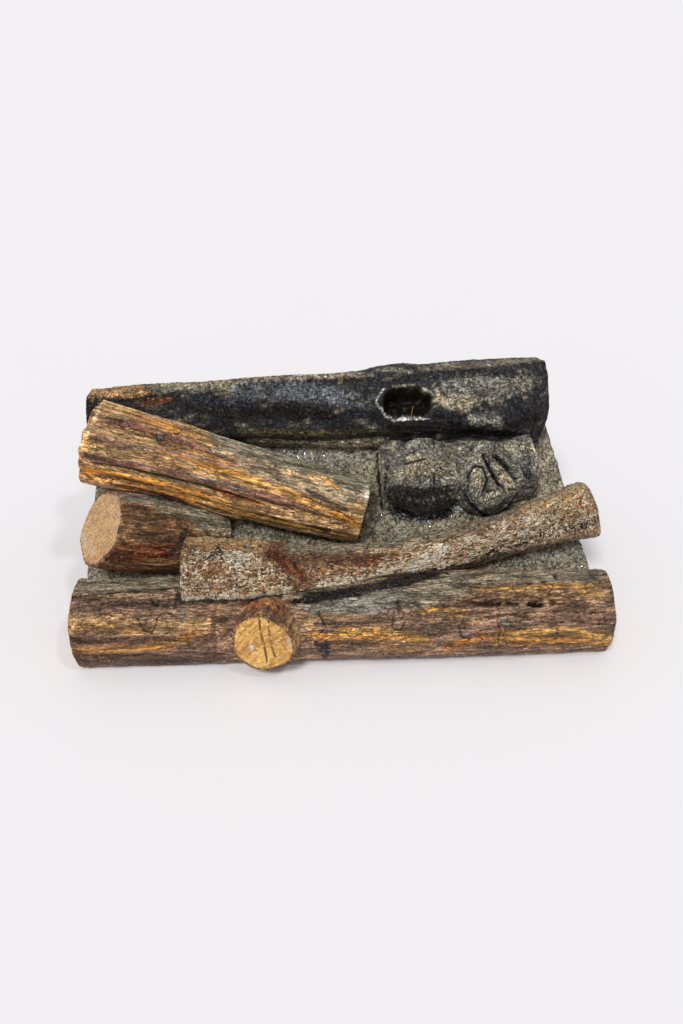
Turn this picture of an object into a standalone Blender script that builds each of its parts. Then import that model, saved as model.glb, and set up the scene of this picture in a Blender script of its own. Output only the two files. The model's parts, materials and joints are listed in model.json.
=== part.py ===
"""Electric fireplace log set: hollow moulded logs on a sloping ember bed, which lifts off a lamp tray.

The tray holds two small lamps. Above each lamp a vaned spinner turns on a needle in the warm air, and
its shadow makes the bed flicker. Metres, +Z up, +Y to the back, the object standing on Z = 0.
"""

import math
from collections import namedtuple

import bmesh
import bpy
from mathutils import Matrix, Vector

# Fits
GLUE_GAP = 0.0003
FIT_GAP = 0.0003
CUT_OVERRUN = 0.02
WELD_DISTANCE = 0.000001
SHARP_ANGLE = math.radians(40)

# Bed: plan outline and section of the moulding that carries the logs
BED_WIDTH = 0.594
BED_RIGHT_TAPER = 0.049
BED_SHOULDER = 0.085
TOE_WIDTH = 0.572
BED_FRONT = 0.1285
BED_REAR = 0.1745
BED_WALL = 0.004
TOE_THICKNESS = 0.0045
SLOPE_FOOT = 0.102
SLOPE_FOOT_HEIGHT = 0.006
SLOPE_RUN = 0.230
SLOPE_RISE = 0.154

# Logs: the wall of every hollow log, and the thicker wall behind a sawn end
LOG_WALL = 0.004
LOG_END_WALL = 0.009
LOG_CHAMFER = 0.003
LOG_SEGMENTS = 18
HOLLOW_SEGMENTS = 12
RING_PITCH = 0.045
KNOT_PITCH = 0.018

# A log's spine runs through places on the bed: across it from the middle, up the slope, and above it,
# as shares of half the bed's width, of the slope's length and of the log's own radius. A lobe is a count
# round the log, a depth, a phase and the turns that it makes along the log.
Log = namedtuple("Log", "radius spine_shares girth_shares lobe_shares pitch bark")
STANDING_SHARE = 0.6

FRONT_LOG_RADIUS = 0.046
BACK_LOG_RADIUS = 0.053
SPLIT_LOG_RADIUS = 0.047
SHORT_LOG_RADIUS = 0.045
BIRCH_LOG_RADIUS = 0.036
CHARRED_LOG_RADIUS = 0.040
LEFT_KNOT_RADIUS = 0.043
RIGHT_KNOT_RADIUS = 0.042
BRANCH_RADIUS = 0.035

# Burnt-through hole in the back log
HOLE_WIDTH = 0.056
HOLE_HEIGHT = 0.036
HOLE_ACROSS_SHARE = 0.275
HOLE_TILT = math.radians(42)
HOLE_DEPTH = 0.030

# Ring groove of the right-hand knot
GROOVE_RADIUS = 0.019
GROOVE_WIDTH = 0.004

# Lamp tray
SHEET = 0.0012
FOOT_RADIUS = 0.009
FOOT_HEIGHT = 0.006
FOOT_STEM_RADIUS = 0.0025
FOOT_BARB_RADIUS = 0.0034
FOOT_BARB_HEIGHT = 0.0015
FOOT_INSET = 0.022
TRAY_CLEARANCE = 0.004
TRAY_LIP = 0.017
TRAY_HEADROOM = 0.004

# Shell brackets, which hang over the tray's end lips
BRACKET_WIDTH = 0.030
BRACKET_REACH = 0.011
BRACKET_RISE = 0.024
BRACKET_SHEET = 0.0015
BRACKET_BACK_SHARE = 0.55
RIVET_RADIUS = 0.0016
RIVET_HEAD_RADIUS = 0.0032
RIVET_HEAD_HEIGHT = 0.0012
RIVET_SPACING = 0.016
RIVET_BITE = 0.003
RIVET_CROWN_SHARE = 0.6

# Lamps and lampholders
LAMP_SPACING = 0.250
HOLDER_LENGTH = 0.064
HOLDER_SCREW_EDGE = 0.0065
HOLDER_WIDTH = 0.032
HOLDER_BASE = 0.006
HOLDER_RADIUS = 0.014
HOLDER_HEIGHT = 0.024
HOLDER_FLOOR = 0.004
THREAD_SHELL_RADIUS = 0.0088
THREAD_SHELL_WALL = 0.0010
THREAD_SHELL_HEIGHT = 0.016
CONTACT_RADIUS = 0.003
CONTACT_HEIGHT = 0.002
CAP_RADIUS = 0.0070
CAP_WALL = 0.0006
CAP_HEIGHT = 0.018
LAMP_RADIUS = 0.014
LAMP_GLASS_HEIGHT = 0.046
GLASS_WALL = 0.0009
GLASS_INSERT = 0.004
STEM_RADIUS = 0.0026
STEM_HEIGHT = 0.026
FILAMENT_HEIGHT = 0.012
FILAMENT_WIRE = 0.0003
FILAMENT_TURNS = 4
FILAMENT_SPREAD_SHARE = 0.85
FILAMENT_DIP_SHARE = 0.25
# Outline of the bulb from crown to neck, as shares of its radius and height
LAMP_OUTLINE_SHARES = (
    (0.0, 1.0), (0.45, 0.975), (0.80, 0.86), (0.98, 0.68), (1.0, 0.54), (0.86, 0.36), (0.62, 0.22),
)

# Stirrup, needle and spinner above each lamp
STIRRUP_SHEET = 0.0012
STIRRUP_STRIP = 0.008
STIRRUP_FOOT = 0.009
STIRRUP_AIR = 0.005
NEEDLE_RADIUS = 0.0009
NEEDLE_HEIGHT = 0.009
NEEDLE_POINT = 0.003
SPINNER_RADIUS = 0.031
SPINNER_SHEET = 0.0006
SPINNER_RIM = 0.003
SPINNER_HUB_RADIUS = 0.008
SPINNER_VANES = 8
VANE_WIDTH = 0.0100
VANE_PITCH = math.radians(28)
VANE_BITE = 0.0012
CUP_RADIUS = 0.0032
CUP_FLANGE_RADIUS = 0.0052
CUP_HEIGHT = 0.004
CUP_FLANGE = 0.0008
CUP_WALL = 0.0009
SPINNER_AIR = 0.011

# Screws, terminal block, leads and cable inlet
SCREW_RADIUS = 0.0015
SCREW_HEAD_RADIUS = 0.0028
SCREW_HEAD_HEIGHT = 0.0020
SCREW_TAIL = 0.002
SCREW_CROWN_SHARE = 0.8
SLOT_WIDTH = 0.0008
SLOT_DEPTH = 0.0010
BLOCK_LENGTH = 0.026
BLOCK_WIDTH = 0.018
BLOCK_HEIGHT = 0.013
BLOCK_SETBACK = 0.030
BLOCK_SCREW_SPACING = 0.013
BLOCK_SCREW_DEPTH = 0.006
LEAD_RADIUS = 0.0012
LEAD_SPACING = 0.009
LEAD_POINTS = 9
GROMMET_RADIUS = 0.0065
GROMMET_NECK_RADIUS = 0.0046
GROMMET_BORE_RADIUS = 0.0032
GROMMET_FLANGE = 0.0020

# Facet counts of small turned pieces
ROUND_STEPS = 20
SMALL_STEPS = 12

HALF_WIDTH = BED_WIDTH / 2
SLOPE = math.atan2(SLOPE_RISE, SLOPE_RUN)
SLOPE_LENGTH = math.hypot(SLOPE_RUN, SLOPE_RISE)
SLOPE_NORMAL = Vector((0, -math.sin(SLOPE), math.cos(SLOPE)))
SLOPE_UP = Vector((0, math.cos(SLOPE), math.sin(SLOPE)))
SLOPE_START = Vector((0, -SLOPE_FOOT, SLOPE_FOOT_HEIGHT))
BED_TOP = SLOPE_FOOT_HEIGHT + SLOPE_RISE
TRAY_UNDER = FOOT_HEIGHT + FIT_GAP
TRAY_FLOOR = TRAY_UNDER + SHEET
LIP_TOP = TRAY_UNDER + TRAY_LIP

LOGS = {
    "front_log": Log(
        FRONT_LOG_RADIUS,
        ((-0.977, 0.036, 0.66), (-0.485, 0.034, 0.66), (0.010, 0.032, 0.66), (0.505, 0.032, 0.66),
         (0.980, 0.034, 0.67)),
        (1.03, 1.04, 1.02, 1.01, 0.97),
        ((5, 0.022, 0.4, 1.2), (9, 0.016, 1.7, -0.8)),
        RING_PITCH,
        "bark_brown",
    ),
    "back_log": Log(
        BACK_LOG_RADIUS,
        ((-1.010, 0.960, 0.44), (-0.596, 0.972, 0.44), (-0.091, 0.978, 0.45), (0.414, 0.985, 0.46),
         (0.811, 0.992, 0.47)),
        (0.64, 0.75, 0.86, 0.94, 1.00),
        ((4, 0.030, 0.9, 1.5), (7, 0.022, 0.3, -1.1)),
        RING_PITCH,
        "bark_charred",
    ),
    "short_log": Log(
        SHORT_LOG_RADIUS,
        ((-0.946, 0.398, 1.44), (-0.788, 0.402, 0.86), (-0.616, 0.407, 0.26), (-0.495, 0.410, -0.20)),
        (0.98, 1.00, 0.98, 0.94),
        ((5, 0.025, 1.9, 0.7), (8, 0.015, 0.2, 0.9)),
        RING_PITCH,
        "bark_brown",
    ),
    "charred_log": Log(
        CHARRED_LOG_RADIUS,
        ((0.172, 0.66, 0.30), (0.374, 0.67, 0.30), (0.586, 0.68, 0.30), (0.783, 0.70, 0.28)),
        (0.92, 1.00, 1.04, 0.98),
        ((4, 0.045, 0.5, 1.3), (7, 0.035, 1.1, -1.6)),
        RING_PITCH,
        "bark_charred",
    ),
    "left_knot": Log(
        LEFT_KNOT_RADIUS,
        ((0.331, 0.655, -0.10), (0.329, 0.632, 0.55), (0.325, 0.608, 1.20), (0.321, 0.590, 1.72)),
        (1.00, 1.05, 0.96, 0.62),
        ((3, 0.050, 0.3, 0.4), (5, 0.030, 1.4, 0.2)),
        KNOT_PITCH,
        "bark_charred",
    ),
    "right_knot": Log(
        RIGHT_KNOT_RADIUS,
        ((0.586, 0.640, -0.10), (0.583, 0.625, 0.50), (0.578, 0.610, 1.05), (0.572, 0.598, 1.50)),
        (1.05, 1.05, 0.92, 0.70),
        ((3, 0.040, 1.2, 0.3), (4, 0.030, 0.6, -0.2)),
        KNOT_PITCH,
        "bark_charred",
    ),
    "split_log": Log(
        SPLIT_LOG_RADIUS,
        ((-0.962, 0.783, 1.30), (-0.707, 0.712, 1.12), (-0.424, 0.628, 0.92), (-0.141, 0.545, 0.74),
         (0.096, 0.480, 0.55)),
        (1.00, 0.97, 0.90, 0.84, 0.76),
        ((5, 0.040, 0.8, 0.5), (9, 0.025, 0.1, 0.4)),
        RING_PITCH,
        "bark_brown",
    ),
    "birch_log": Log(
        BIRCH_LOG_RADIUS,
        ((-0.571, 0.195, 1.95), (-0.343, 0.185, 1.85), (-0.091, 0.190, 1.55), (0.232, 0.245, 1.10),
         (0.596, 0.355, 0.70), (0.818, 0.425, 0.68), (0.978, 0.470, 0.72)),
        (1.02, 1.00, 0.84, 0.68, 0.70, 0.80, 0.96),
        ((4, 0.030, 0.2, 0.8), (7, 0.020, 1.0, 0.5)),
        RING_PITCH,
        "bark_birch",
    ),
    "front_branch": Log(
        BRANCH_RADIUS,
        ((-0.246, 0.033, 1.030), (-0.266, -0.037, 1.537), (-0.283, -0.106, 2.057)),
        (1.25, 1.08, 1.00),
        ((3, 0.030, 0.6, 0.2), (6, 0.015, 0.9, 0.1)),
        KNOT_PITCH,
        "bark_brown",
    ),
}

# Each log is coped over the logs that were laid before it.
LAID_ORDER = (
    ("front_log", ()),
    ("back_log", ()),
    ("front_branch", ("front_log",)),
    ("short_log", ("front_log", "back_log")),
    ("charred_log", ("back_log", "front_log")),
    ("left_knot", ("charred_log", "back_log")),
    ("right_knot", ("charred_log", "left_knot", "back_log")),
    ("split_log", ("back_log", "short_log", "charred_log", "left_knot")),
    (
        "birch_log",
        ("front_log", "front_branch", "short_log", "charred_log", "left_knot", "right_knot", "split_log"),
    ),
)

# Base colour, roughness and metallic value of each finish
FINISHES = {
    "bark_brown": ((0.28, 0.15, 0.07), 0.75, 0.0),
    "bark_charred": ((0.045, 0.045, 0.048), 0.55, 0.0),
    "bark_birch": ((0.52, 0.40, 0.27), 0.85, 0.0),
    "ash_bed": ((0.17, 0.155, 0.12), 0.90, 0.0),
    "tray_steel": ((0.30, 0.31, 0.32), 0.45, 0.9),
    "spring_steel": ((0.55, 0.56, 0.58), 0.30, 1.0),
    "spinner_aluminium": ((0.80, 0.81, 0.82), 0.25, 1.0),
    "porcelain": ((0.82, 0.80, 0.74), 0.35, 0.0),
    "brass": ((0.72, 0.54, 0.24), 0.30, 1.0),
    "amber_glass": ((0.85, 0.32, 0.05), 0.10, 0.0),
    "clear_glass": ((0.85, 0.88, 0.88), 0.05, 0.0),
    "filament_wire": ((0.25, 0.25, 0.27), 0.50, 1.0),
    "rubber": ((0.03, 0.03, 0.03), 0.80, 0.0),
    "black_plastic": ((0.04, 0.04, 0.04), 0.45, 0.0),
    "lead_sleeve": ((0.45, 0.10, 0.06), 0.55, 0.0),
}


def clear_scene():
    for obj in list(bpy.data.objects):
        bpy.data.objects.remove(obj, do_unlink=True)


def new_collection(name, hidden=False):
    made = bpy.data.collections.new(name)
    bpy.context.scene.collection.children.link(made)
    made.hide_render = hidden
    return made


def finish_material(name):
    made = bpy.data.materials.get(name)
    if made:
        return made
    colour, roughness, metallic = FINISHES[name]
    made = bpy.data.materials.new(name)
    made.use_nodes = True
    shader = made.node_tree.nodes["Principled BSDF"]
    shader.inputs["Base Color"].default_value = (*colour, 1)
    shader.inputs["Roughness"].default_value = roughness
    shader.inputs["Metallic"].default_value = metallic
    made.diffuse_color = (*colour, 1)
    return made


class Bench:
    """The two collections that the model is built in, and the ways to put a piece into them."""

    def __init__(self):
        self.parts = new_collection("fireplace_log_set")
        self.cutters = new_collection("cutters", hidden=True)

    def add(self, name, data, finish=None):
        """A part with a finish, or a cutter without one."""
        obj = bpy.data.objects.new(name, data)
        if finish is None:
            self.cutters.objects.link(obj)
            obj.hide_render = True
            obj.display_type = "WIRE"
            return obj
        self.parts.objects.link(obj)
        data.materials.clear()
        data.materials.append(finish_material(finish))
        return obj

    def mesh(self, name, bm, finish=None):
        data = bpy.data.meshes.new(name)
        bm.to_mesh(data)
        bm.free()
        return self.add(name, data, finish)

    def curve_to_mesh(self, name, curve, matrix, finish=None):
        """The closed mesh of a curve object, with its caps welded, placed by matrix."""
        temporary = bpy.data.objects.new(name + "_curve", curve)
        bpy.context.scene.collection.objects.link(temporary)
        bpy.context.view_layer.update()
        evaluated = temporary.evaluated_get(bpy.context.evaluated_depsgraph_get())
        data = bpy.data.meshes.new_from_object(evaluated)
        bpy.data.objects.remove(temporary)
        bm = bmesh.new()
        bm.from_mesh(data)
        bmesh.ops.remove_doubles(bm, verts=bm.verts, dist=WELD_DISTANCE)
        bmesh.ops.transform(bm, matrix=matrix, verts=bm.verts)
        face_outwards(bm)
        bm.to_mesh(data)
        bm.free()
        return self.add(name, data, finish)

    def plate(self, name, outline, thickness, matrix, finish=None):
        """A flat outline in its own XY plane, thickness deep and centred on that plane."""
        curve = bpy.data.curves.new(name, "CURVE")
        curve.dimensions = "2D"
        curve.fill_mode = "BOTH"
        curve.extrude = thickness / 2
        spline = curve.splines.new("POLY")
        spline.points.add(len(outline) - 1)
        for point, (x, y) in zip(spline.points, outline):
            point.co = (x, y, 0, 1)
        spline.use_cyclic_u = True
        return self.curve_to_mesh(name, curve, matrix, finish)

    def wire(self, name, points, radius, finish, resolution=2):
        """A round wire along points, with flat ends."""
        curve = bpy.data.curves.new(name, "CURVE")
        curve.dimensions = "3D"
        curve.bevel_depth = radius
        curve.bevel_resolution = resolution
        curve.use_fill_caps = True
        spline = curve.splines.new("POLY")
        spline.points.add(len(points) - 1)
        for point, place in zip(spline.points, points):
            point.co = (*place, 1)
        return self.curve_to_mesh(name, curve, Matrix.Identity(4), finish)

    def turned(self, name, profile, place, finish=None, steps=ROUND_STEPS, matrix=None):
        """A closed profile of (radius, height), outer side top to bottom, spun about its own Z at place."""
        data = bpy.data.meshes.new(name)
        ends = [(i, (i + 1) % len(profile)) for i in range(len(profile))]
        if profile[0][0] == 0 and profile[-1][0] == 0:
            ends.pop()
        data.from_pydata([(r, 0, z) for r, z in profile], ends, [])
        obj = self.add(name, data, finish)
        spin = obj.modifiers.new("spin", "SCREW")
        spin.steps = steps
        spin.render_steps = steps
        spin.use_merge_vertices = True
        spin.merge_threshold = WELD_DISTANCE
        settle(obj)
        obj.data.transform(matrix or Matrix.Identity(4))
        bm = bmesh.new()
        bm.from_mesh(obj.data)
        face_outwards(bm)
        bm.to_mesh(obj.data)
        bm.free()
        obj.location = place
        return obj


def face_outwards(bm):
    bm.normal_update()
    bmesh.ops.recalc_face_normals(bm, faces=bm.faces)


def settle(obj):
    """Applies the object's modifiers to its own mesh."""
    bpy.context.view_layer.update()
    evaluated = obj.evaluated_get(bpy.context.evaluated_depsgraph_get())
    data = bpy.data.meshes.new_from_object(evaluated)
    obj.modifiers.clear()
    obj.data = data


def combine(obj, other, operation="DIFFERENCE"):
    made = obj.modifiers.new(other.name, "BOOLEAN")
    made.operation = operation
    made.solver = "EXACT"
    made.object = other
    settle(obj)


def keep_largest(obj):
    """Drops the offcuts that a coping cut leaves, and keeps the log itself."""
    bm = bmesh.new()
    bm.from_mesh(obj.data)
    bmesh.ops.remove_doubles(bm, verts=bm.verts, dist=WELD_DISTANCE)
    left, shells = set(bm.verts), []
    while left:
        shell, edge_of = set(), [left.pop()]
        while edge_of:
            vert = edge_of.pop()
            shell.add(vert)
            for edge in vert.link_edges:
                other = edge.other_vert(vert)
                if other in left:
                    left.discard(other)
                    edge_of.append(other)
        shells.append(shell)
    shells.sort(key=reach_of, reverse=True)
    offcuts = [vert for shell in shells[1:] for vert in shell]
    bmesh.ops.delete(bm, geom=offcuts, context="VERTS")
    bmesh.ops.triangulate(bm, faces=bm.faces)
    bm.to_mesh(obj.data)
    bm.free()


def reach_of(shell):
    """The diagonal of a shell's box."""
    sides = [max(v.co[k] for v in shell) - min(v.co[k] for v in shell) for k in range(3)]
    return math.hypot(*sides)


def hang(bench, name, place, pieces):
    """An empty on a joint's axis, with the pieces that move on it as its children."""
    axis = bpy.data.objects.new(name, None)
    bench.parts.objects.link(axis)
    axis.location = place
    bpy.context.view_layer.update()
    for piece in pieces:
        piece.parent = axis
        piece.matrix_parent_inverse = axis.matrix_world.inverted()


def smooth(obj):
    obj.data.shade_smooth()
    obj.data.set_sharp_from_angle(angle=SHARP_ANGLE)


def on_bed(across_share, up_share, height):
    """A place above the slope: height is measured square to it."""
    place = SLOPE_START + SLOPE_UP * (up_share * SLOPE_LENGTH) + SLOPE_NORMAL * height
    place.x = across_share * HALF_WIDTH
    return place


def slope_y(height, lift=0.0):
    """Where the slope's surface, moved lift along its normal, reaches a height."""
    start = SLOPE_START + SLOPE_NORMAL * lift
    return start.y + (height - start.z) / math.tan(SLOPE)


def left_x(inset):
    return -HALF_WIDTH + inset


def right_x(y, inset):
    """The right edge leans in towards the back."""
    lean = -BED_RIGHT_TAPER / (BED_REAR + BED_SHOULDER)
    return HALF_WIDTH + lean * (y + BED_SHOULDER) - inset * math.hypot(1, lean)


def plan_outline(inset, rear=0.0):
    """Plan corners of the bed, moved in by inset on the sides and front, and moved back by rear behind."""
    front_y, rear_y = -BED_FRONT + inset, BED_REAR + rear
    toe_x = TOE_WIDTH / 2 - inset
    return (
        (-toe_x, front_y),
        (toe_x, front_y),
        (right_x(-BED_SHOULDER, inset), -BED_SHOULDER),
        (right_x(rear_y, inset), rear_y),
        (left_x(inset), rear_y),
        (left_x(inset), -BED_SHOULDER),
    )


def upright(bench, name, outline, low, high, finish=None):
    """A plan outline raised from low to high."""
    matrix = Matrix.Translation((0, 0, (low + high) / 2))
    return bench.plate(name, outline, high - low, matrix, finish)


def section_block(bench, name, outline, half_width):
    """A section in the YZ plane, run across the whole width."""
    turn = Matrix(((0, 0, 1, 0), (1, 0, 0, 0), (0, 1, 0, 0), (0, 0, 0, 1)))
    return bench.plate(name, outline, 2 * half_width, turn)


def bed_section(grow):
    """The bed's outer section, moved out by grow."""
    top = BED_TOP + grow
    toe = TOE_THICKNESS + grow
    return (
        (-BED_FRONT - grow, -CUT_OVERRUN if grow else 0),
        (-BED_FRONT - grow, toe),
        (slope_y(toe, grow), toe),
        (slope_y(top, grow), top),
        (BED_REAR + grow, top),
        (BED_REAR + grow, -CUT_OVERRUN if grow else 0),
    )


def bay_section():
    """The lamp bay under the slope, open below and behind."""
    top = BED_TOP - BED_WALL
    return (
        (slope_y(-CUT_OVERRUN, -BED_WALL), -CUT_OVERRUN),
        (slope_y(top, -BED_WALL), top),
        (BED_REAR + CUT_OVERRUN, top),
        (BED_REAR + CUT_OVERRUN, -CUT_OVERRUN),
    )


def wedge(bench, name, section, plan, finish=None):
    """What a section run across and a plan outline run upwards have in common."""
    tall = BED_TOP + 2 * CUT_OVERRUN
    block = upright(bench, name, plan, -CUT_OVERRUN, tall, finish)
    across = section_block(bench, name + "_section", section, BED_WIDTH)
    combine(block, across, "INTERSECT")
    return block


def make_bed(bench):
    bed = wedge(bench, "ember_bed", bed_section(0), plan_outline(0), "ash_bed")
    bay = wedge(bench, "lamp_bay", bay_section(), plan_outline(BED_WALL, rear=CUT_OVERRUN))
    combine(bed, bay)
    return bed


def spline_place(places, share):
    """A place on the smooth curve through places, and the curve's direction there."""
    spans = len(places) - 1
    span = min(int(share * spans), spans - 1)
    t = share * spans - span
    before = places[max(span - 1, 0)]
    start, end = places[span], places[span + 1]
    after = places[min(span + 2, spans)]
    leave, arrive = (end - before) / 2, (after - start) / 2
    place = (
        start * (2 * t**3 - 3 * t**2 + 1)
        + leave * (t**3 - 2 * t**2 + t)
        + end * (3 * t**2 - 2 * t**3)
        + arrive * (t**3 - t**2)
    )
    heading = (
        start * (6 * t**2 - 6 * t)
        + leave * (3 * t**2 - 4 * t + 1)
        + end * (6 * t - 6 * t**2)
        + arrive * (3 * t**2 - 2 * t)
    )
    return place, heading.normalized()


def girth_at(girth_shares, share):
    spans = len(girth_shares) - 1
    span = min(int(share * spans), spans - 1)
    t = share * spans - span
    t = t * t * (3 - 2 * t)
    return girth_shares[span] * (1 - t) + girth_shares[span + 1] * t


def log_body(bench, name, log, grow=0.0, end_grow=0.0, segments=LOG_SEGMENTS, finish=None):
    """A log as one closed solid: a cylinder whose rings are laid along the log's spine.

    grow thickens it all round and end_grow lengthens it at both ends; both may be negative.
    """
    places = [on_bed(across, up, seat * log.radius) for across, up, seat in log.spine_shares]
    length = sum((b - a).length for a, b in zip(places, places[1:]))
    rings = max(3, round(length / log.pitch))
    bm = bmesh.new()
    bmesh.ops.create_cone(bm, cap_ends=True, segments=segments, radius1=1, radius2=1, depth=1)
    along = [edge for edge in bm.edges if abs(edge.verts[0].co.z - edge.verts[1].co.z) > 0.5]
    bmesh.ops.subdivide_edges(bm, edges=along, cuts=rings + 1, use_grid_fill=True)
    chamfer_share = LOG_CHAMFER / length
    for vert in bm.verts:
        ring = round((vert.co.z + 0.5) * (rings + 2))
        at_end = ring in (0, rings + 2)
        share = min(max((ring - 1) / rings, 0), 1)
        share = chamfer_share + share * (1 - 2 * chamfer_share)
        if at_end:
            share = 0 if ring == 0 else 1
        place, heading = spline_place(places, share)
        standing = abs(heading.dot(SLOPE_NORMAL)) > STANDING_SHARE
        side = heading.cross(SLOPE_UP if standing else SLOPE_NORMAL).normalized()
        rise = side.cross(heading)
        turn = math.atan2(vert.co.y, vert.co.x)
        girth = girth_at(log.girth_shares, share)
        for count, depth_share, phase, twist in log.lobe_shares:
            girth += depth_share * math.cos(count * turn + phase + twist * share * math.tau)
        reach = girth * log.radius + grow - (LOG_CHAMFER if at_end else 0)
        slide = heading * (end_grow * (2 * share - 1))
        vert.co = place + side * (reach * math.cos(turn)) + rise * (reach * math.sin(turn)) + slide
    bmesh.ops.triangulate(bm, faces=bm.faces, quad_method="FIXED")
    face_outwards(bm)
    return bench.mesh(name, bm, finish)


def make_logs(bench):
    """Every log hollow, standing on the bed and coped over its neighbours."""
    bed_block = wedge(bench, "bed_block", bed_section(GLUE_GAP), plan_outline(-GLUE_GAP, rear=GLUE_GAP))
    floor = upright(
        bench,
        "floor_block",
        plan_outline(-BED_FRONT, rear=BED_REAR),
        -LOGS["front_log"].radius - CUT_OVERRUN,
        0,
    )
    blocks = {}
    for name, log in LOGS.items():
        blocks[name] = log_body(bench, name + "_block", log, grow=GLUE_GAP, end_grow=GLUE_GAP)
    made = {}
    for name, laid_before in LAID_ORDER:
        log = LOGS[name]
        piece = log_body(bench, name, log, finish=log.bark)
        hollow = log_body(
            bench, name + "_hollow", log, grow=-LOG_WALL, end_grow=-LOG_END_WALL, segments=HOLLOW_SEGMENTS
        )
        combine(piece, hollow)
        for cutter in (bed_block, floor, *(blocks[other] for other in laid_before)):
            combine(piece, cutter)
        keep_largest(piece)
        made[name] = piece
    return made


def cut_burnt_hole(bench, back_log):
    """The hole through the back log's front wall, an oval that faces forwards and up."""
    log = LOGS["back_log"]
    up_share, seat_share = log.spine_shares[3][1:]
    centre = on_bed(HOLE_ACROSS_SHARE, up_share, seat_share * log.radius)
    outline = [
        (HOLE_WIDTH / 2 * math.cos(turn), HOLE_HEIGHT / 2 * math.sin(turn))
        for turn in (math.tau * step / ROUND_STEPS for step in range(ROUND_STEPS))
    ]
    aim = Matrix.Rotation(math.pi / 2 - HOLE_TILT, 4, "X")
    outward = aim @ Vector((0, 0, log.radius))
    reach = 2 * HOLE_DEPTH
    cutter = bench.plate("hole_cutter", outline, reach, Matrix.Translation(centre + outward) @ aim)
    combine(back_log, cutter)


def cut_knot_groove(bench, knot):
    """The ring groove on the right-hand knot's crown."""
    log = LOGS["right_knot"]
    across, up, seat = log.spine_shares[-1]
    centre = on_bed(across, up, seat * log.radius)
    aim = Matrix.Rotation(SLOPE, 4, "X")
    bpy.ops.mesh.primitive_torus_add(
        major_radius=GROOVE_RADIUS,
        minor_radius=GROOVE_WIDTH / 2,
        major_segments=ROUND_STEPS,
        minor_segments=SMALL_STEPS // 2,
    )
    data = bpy.context.object.data.copy()
    bpy.data.objects.remove(bpy.context.object)
    cutter = bench.add("groove_cutter", data)
    cutter.data.transform(Matrix.Translation(centre) @ aim)
    combine(knot, cutter)


def tray_outline(inset):
    """The tray's plan: the bay's, less its clearance, with its front edge under the slope."""
    side = BED_WALL + TRAY_CLEARANCE + inset
    front_y = slope_y(LIP_TOP + TRAY_HEADROOM, -BED_WALL) + inset
    rear_y = BED_REAR - TRAY_CLEARANCE - inset
    return (
        (left_x(side), front_y),
        (right_x(front_y, side), front_y),
        (right_x(rear_y, side), rear_y),
        (left_x(side), rear_y),
    )


def tray_middle_x():
    corners = tray_outline(0)
    return sum(x for x, _ in corners) / len(corners)


def lamp_y():
    """The lamps stand as far forward as the slope over the spinners allows."""
    over_spinner = spinner_top() + SPINNER_AIR
    return slope_y(over_spinner, -BED_WALL) + SPINNER_RADIUS


def holder_floor():
    return TRAY_FLOOR + FIT_GAP + HOLDER_FLOOR


def cap_foot():
    return holder_floor() + FIT_GAP + CONTACT_HEIGHT + FIT_GAP


def lamp_top():
    return cap_foot() + CAP_HEIGHT - GLASS_INSERT + LAMP_GLASS_HEIGHT


def stirrup_top():
    return lamp_top() + STIRRUP_AIR + STIRRUP_SHEET


def needle_tip():
    return stirrup_top() + NEEDLE_HEIGHT


def spinner_top():
    return needle_tip() + FIT_GAP + CUP_WALL + CUP_FLANGE


def lamp_places():
    middle = tray_middle_x()
    return {
        "left": Vector((middle - LAMP_SPACING / 2, lamp_y(), 0)),
        "right": Vector((middle + LAMP_SPACING / 2, lamp_y(), 0)),
    }


def drill(bench, piece, name, radius, low, high, place):
    """A round hole through piece, upright at place."""
    profile = ((0, high), (radius, high), (radius, low), (0, low))
    cutter = bench.turned(name, profile, place, steps=SMALL_STEPS)
    combine(piece, cutter)


def make_tray(bench):
    tray = upright(bench, "lamp_tray", tray_outline(0), TRAY_UNDER, LIP_TOP, "tray_steel")
    inside = upright(bench, "tray_inside", tray_outline(SHEET), TRAY_FLOOR, LIP_TOP + CUT_OVERRUN)
    combine(tray, inside)
    under, over = TRAY_UNDER - SHEET, TRAY_FLOOR + SHEET
    for index, (x, y) in enumerate(tray_outline(FOOT_INSET)):
        drill(bench, tray, f"foot_hole_{index}", FOOT_STEM_RADIUS + FIT_GAP, under, over, (x, y, 0))
    for side, lamp in lamp_places().items():
        for end, y in screw_places(lamp.y):
            hole = f"screw_hole_{side}_{end}"
            drill(bench, tray, hole, SCREW_RADIUS + FIT_GAP, under, over, (lamp.x, y, 0))
    bore = GROMMET_NECK_RADIUS + FIT_GAP
    hole = ((0, 2 * SHEET), (bore, 2 * SHEET), (bore, -2 * SHEET), (0, -2 * SHEET))
    turn = Matrix.Rotation(math.pi / 2, 4, "X")
    combine(tray, bench.turned("inlet_cutter", hole, inlet_place(), matrix=turn))
    return tray


def screw_reach():
    return HOLDER_LENGTH / 2 - HOLDER_SCREW_EDGE


def screw_places(y):
    return (("front", y - screw_reach()), ("rear", y + screw_reach()))


def inlet_place():
    rear_y = tray_outline(SHEET / 2)[2][1]
    return Vector((tray_middle_x(), rear_y, (TRAY_FLOOR + LIP_TOP) / 2))


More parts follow.
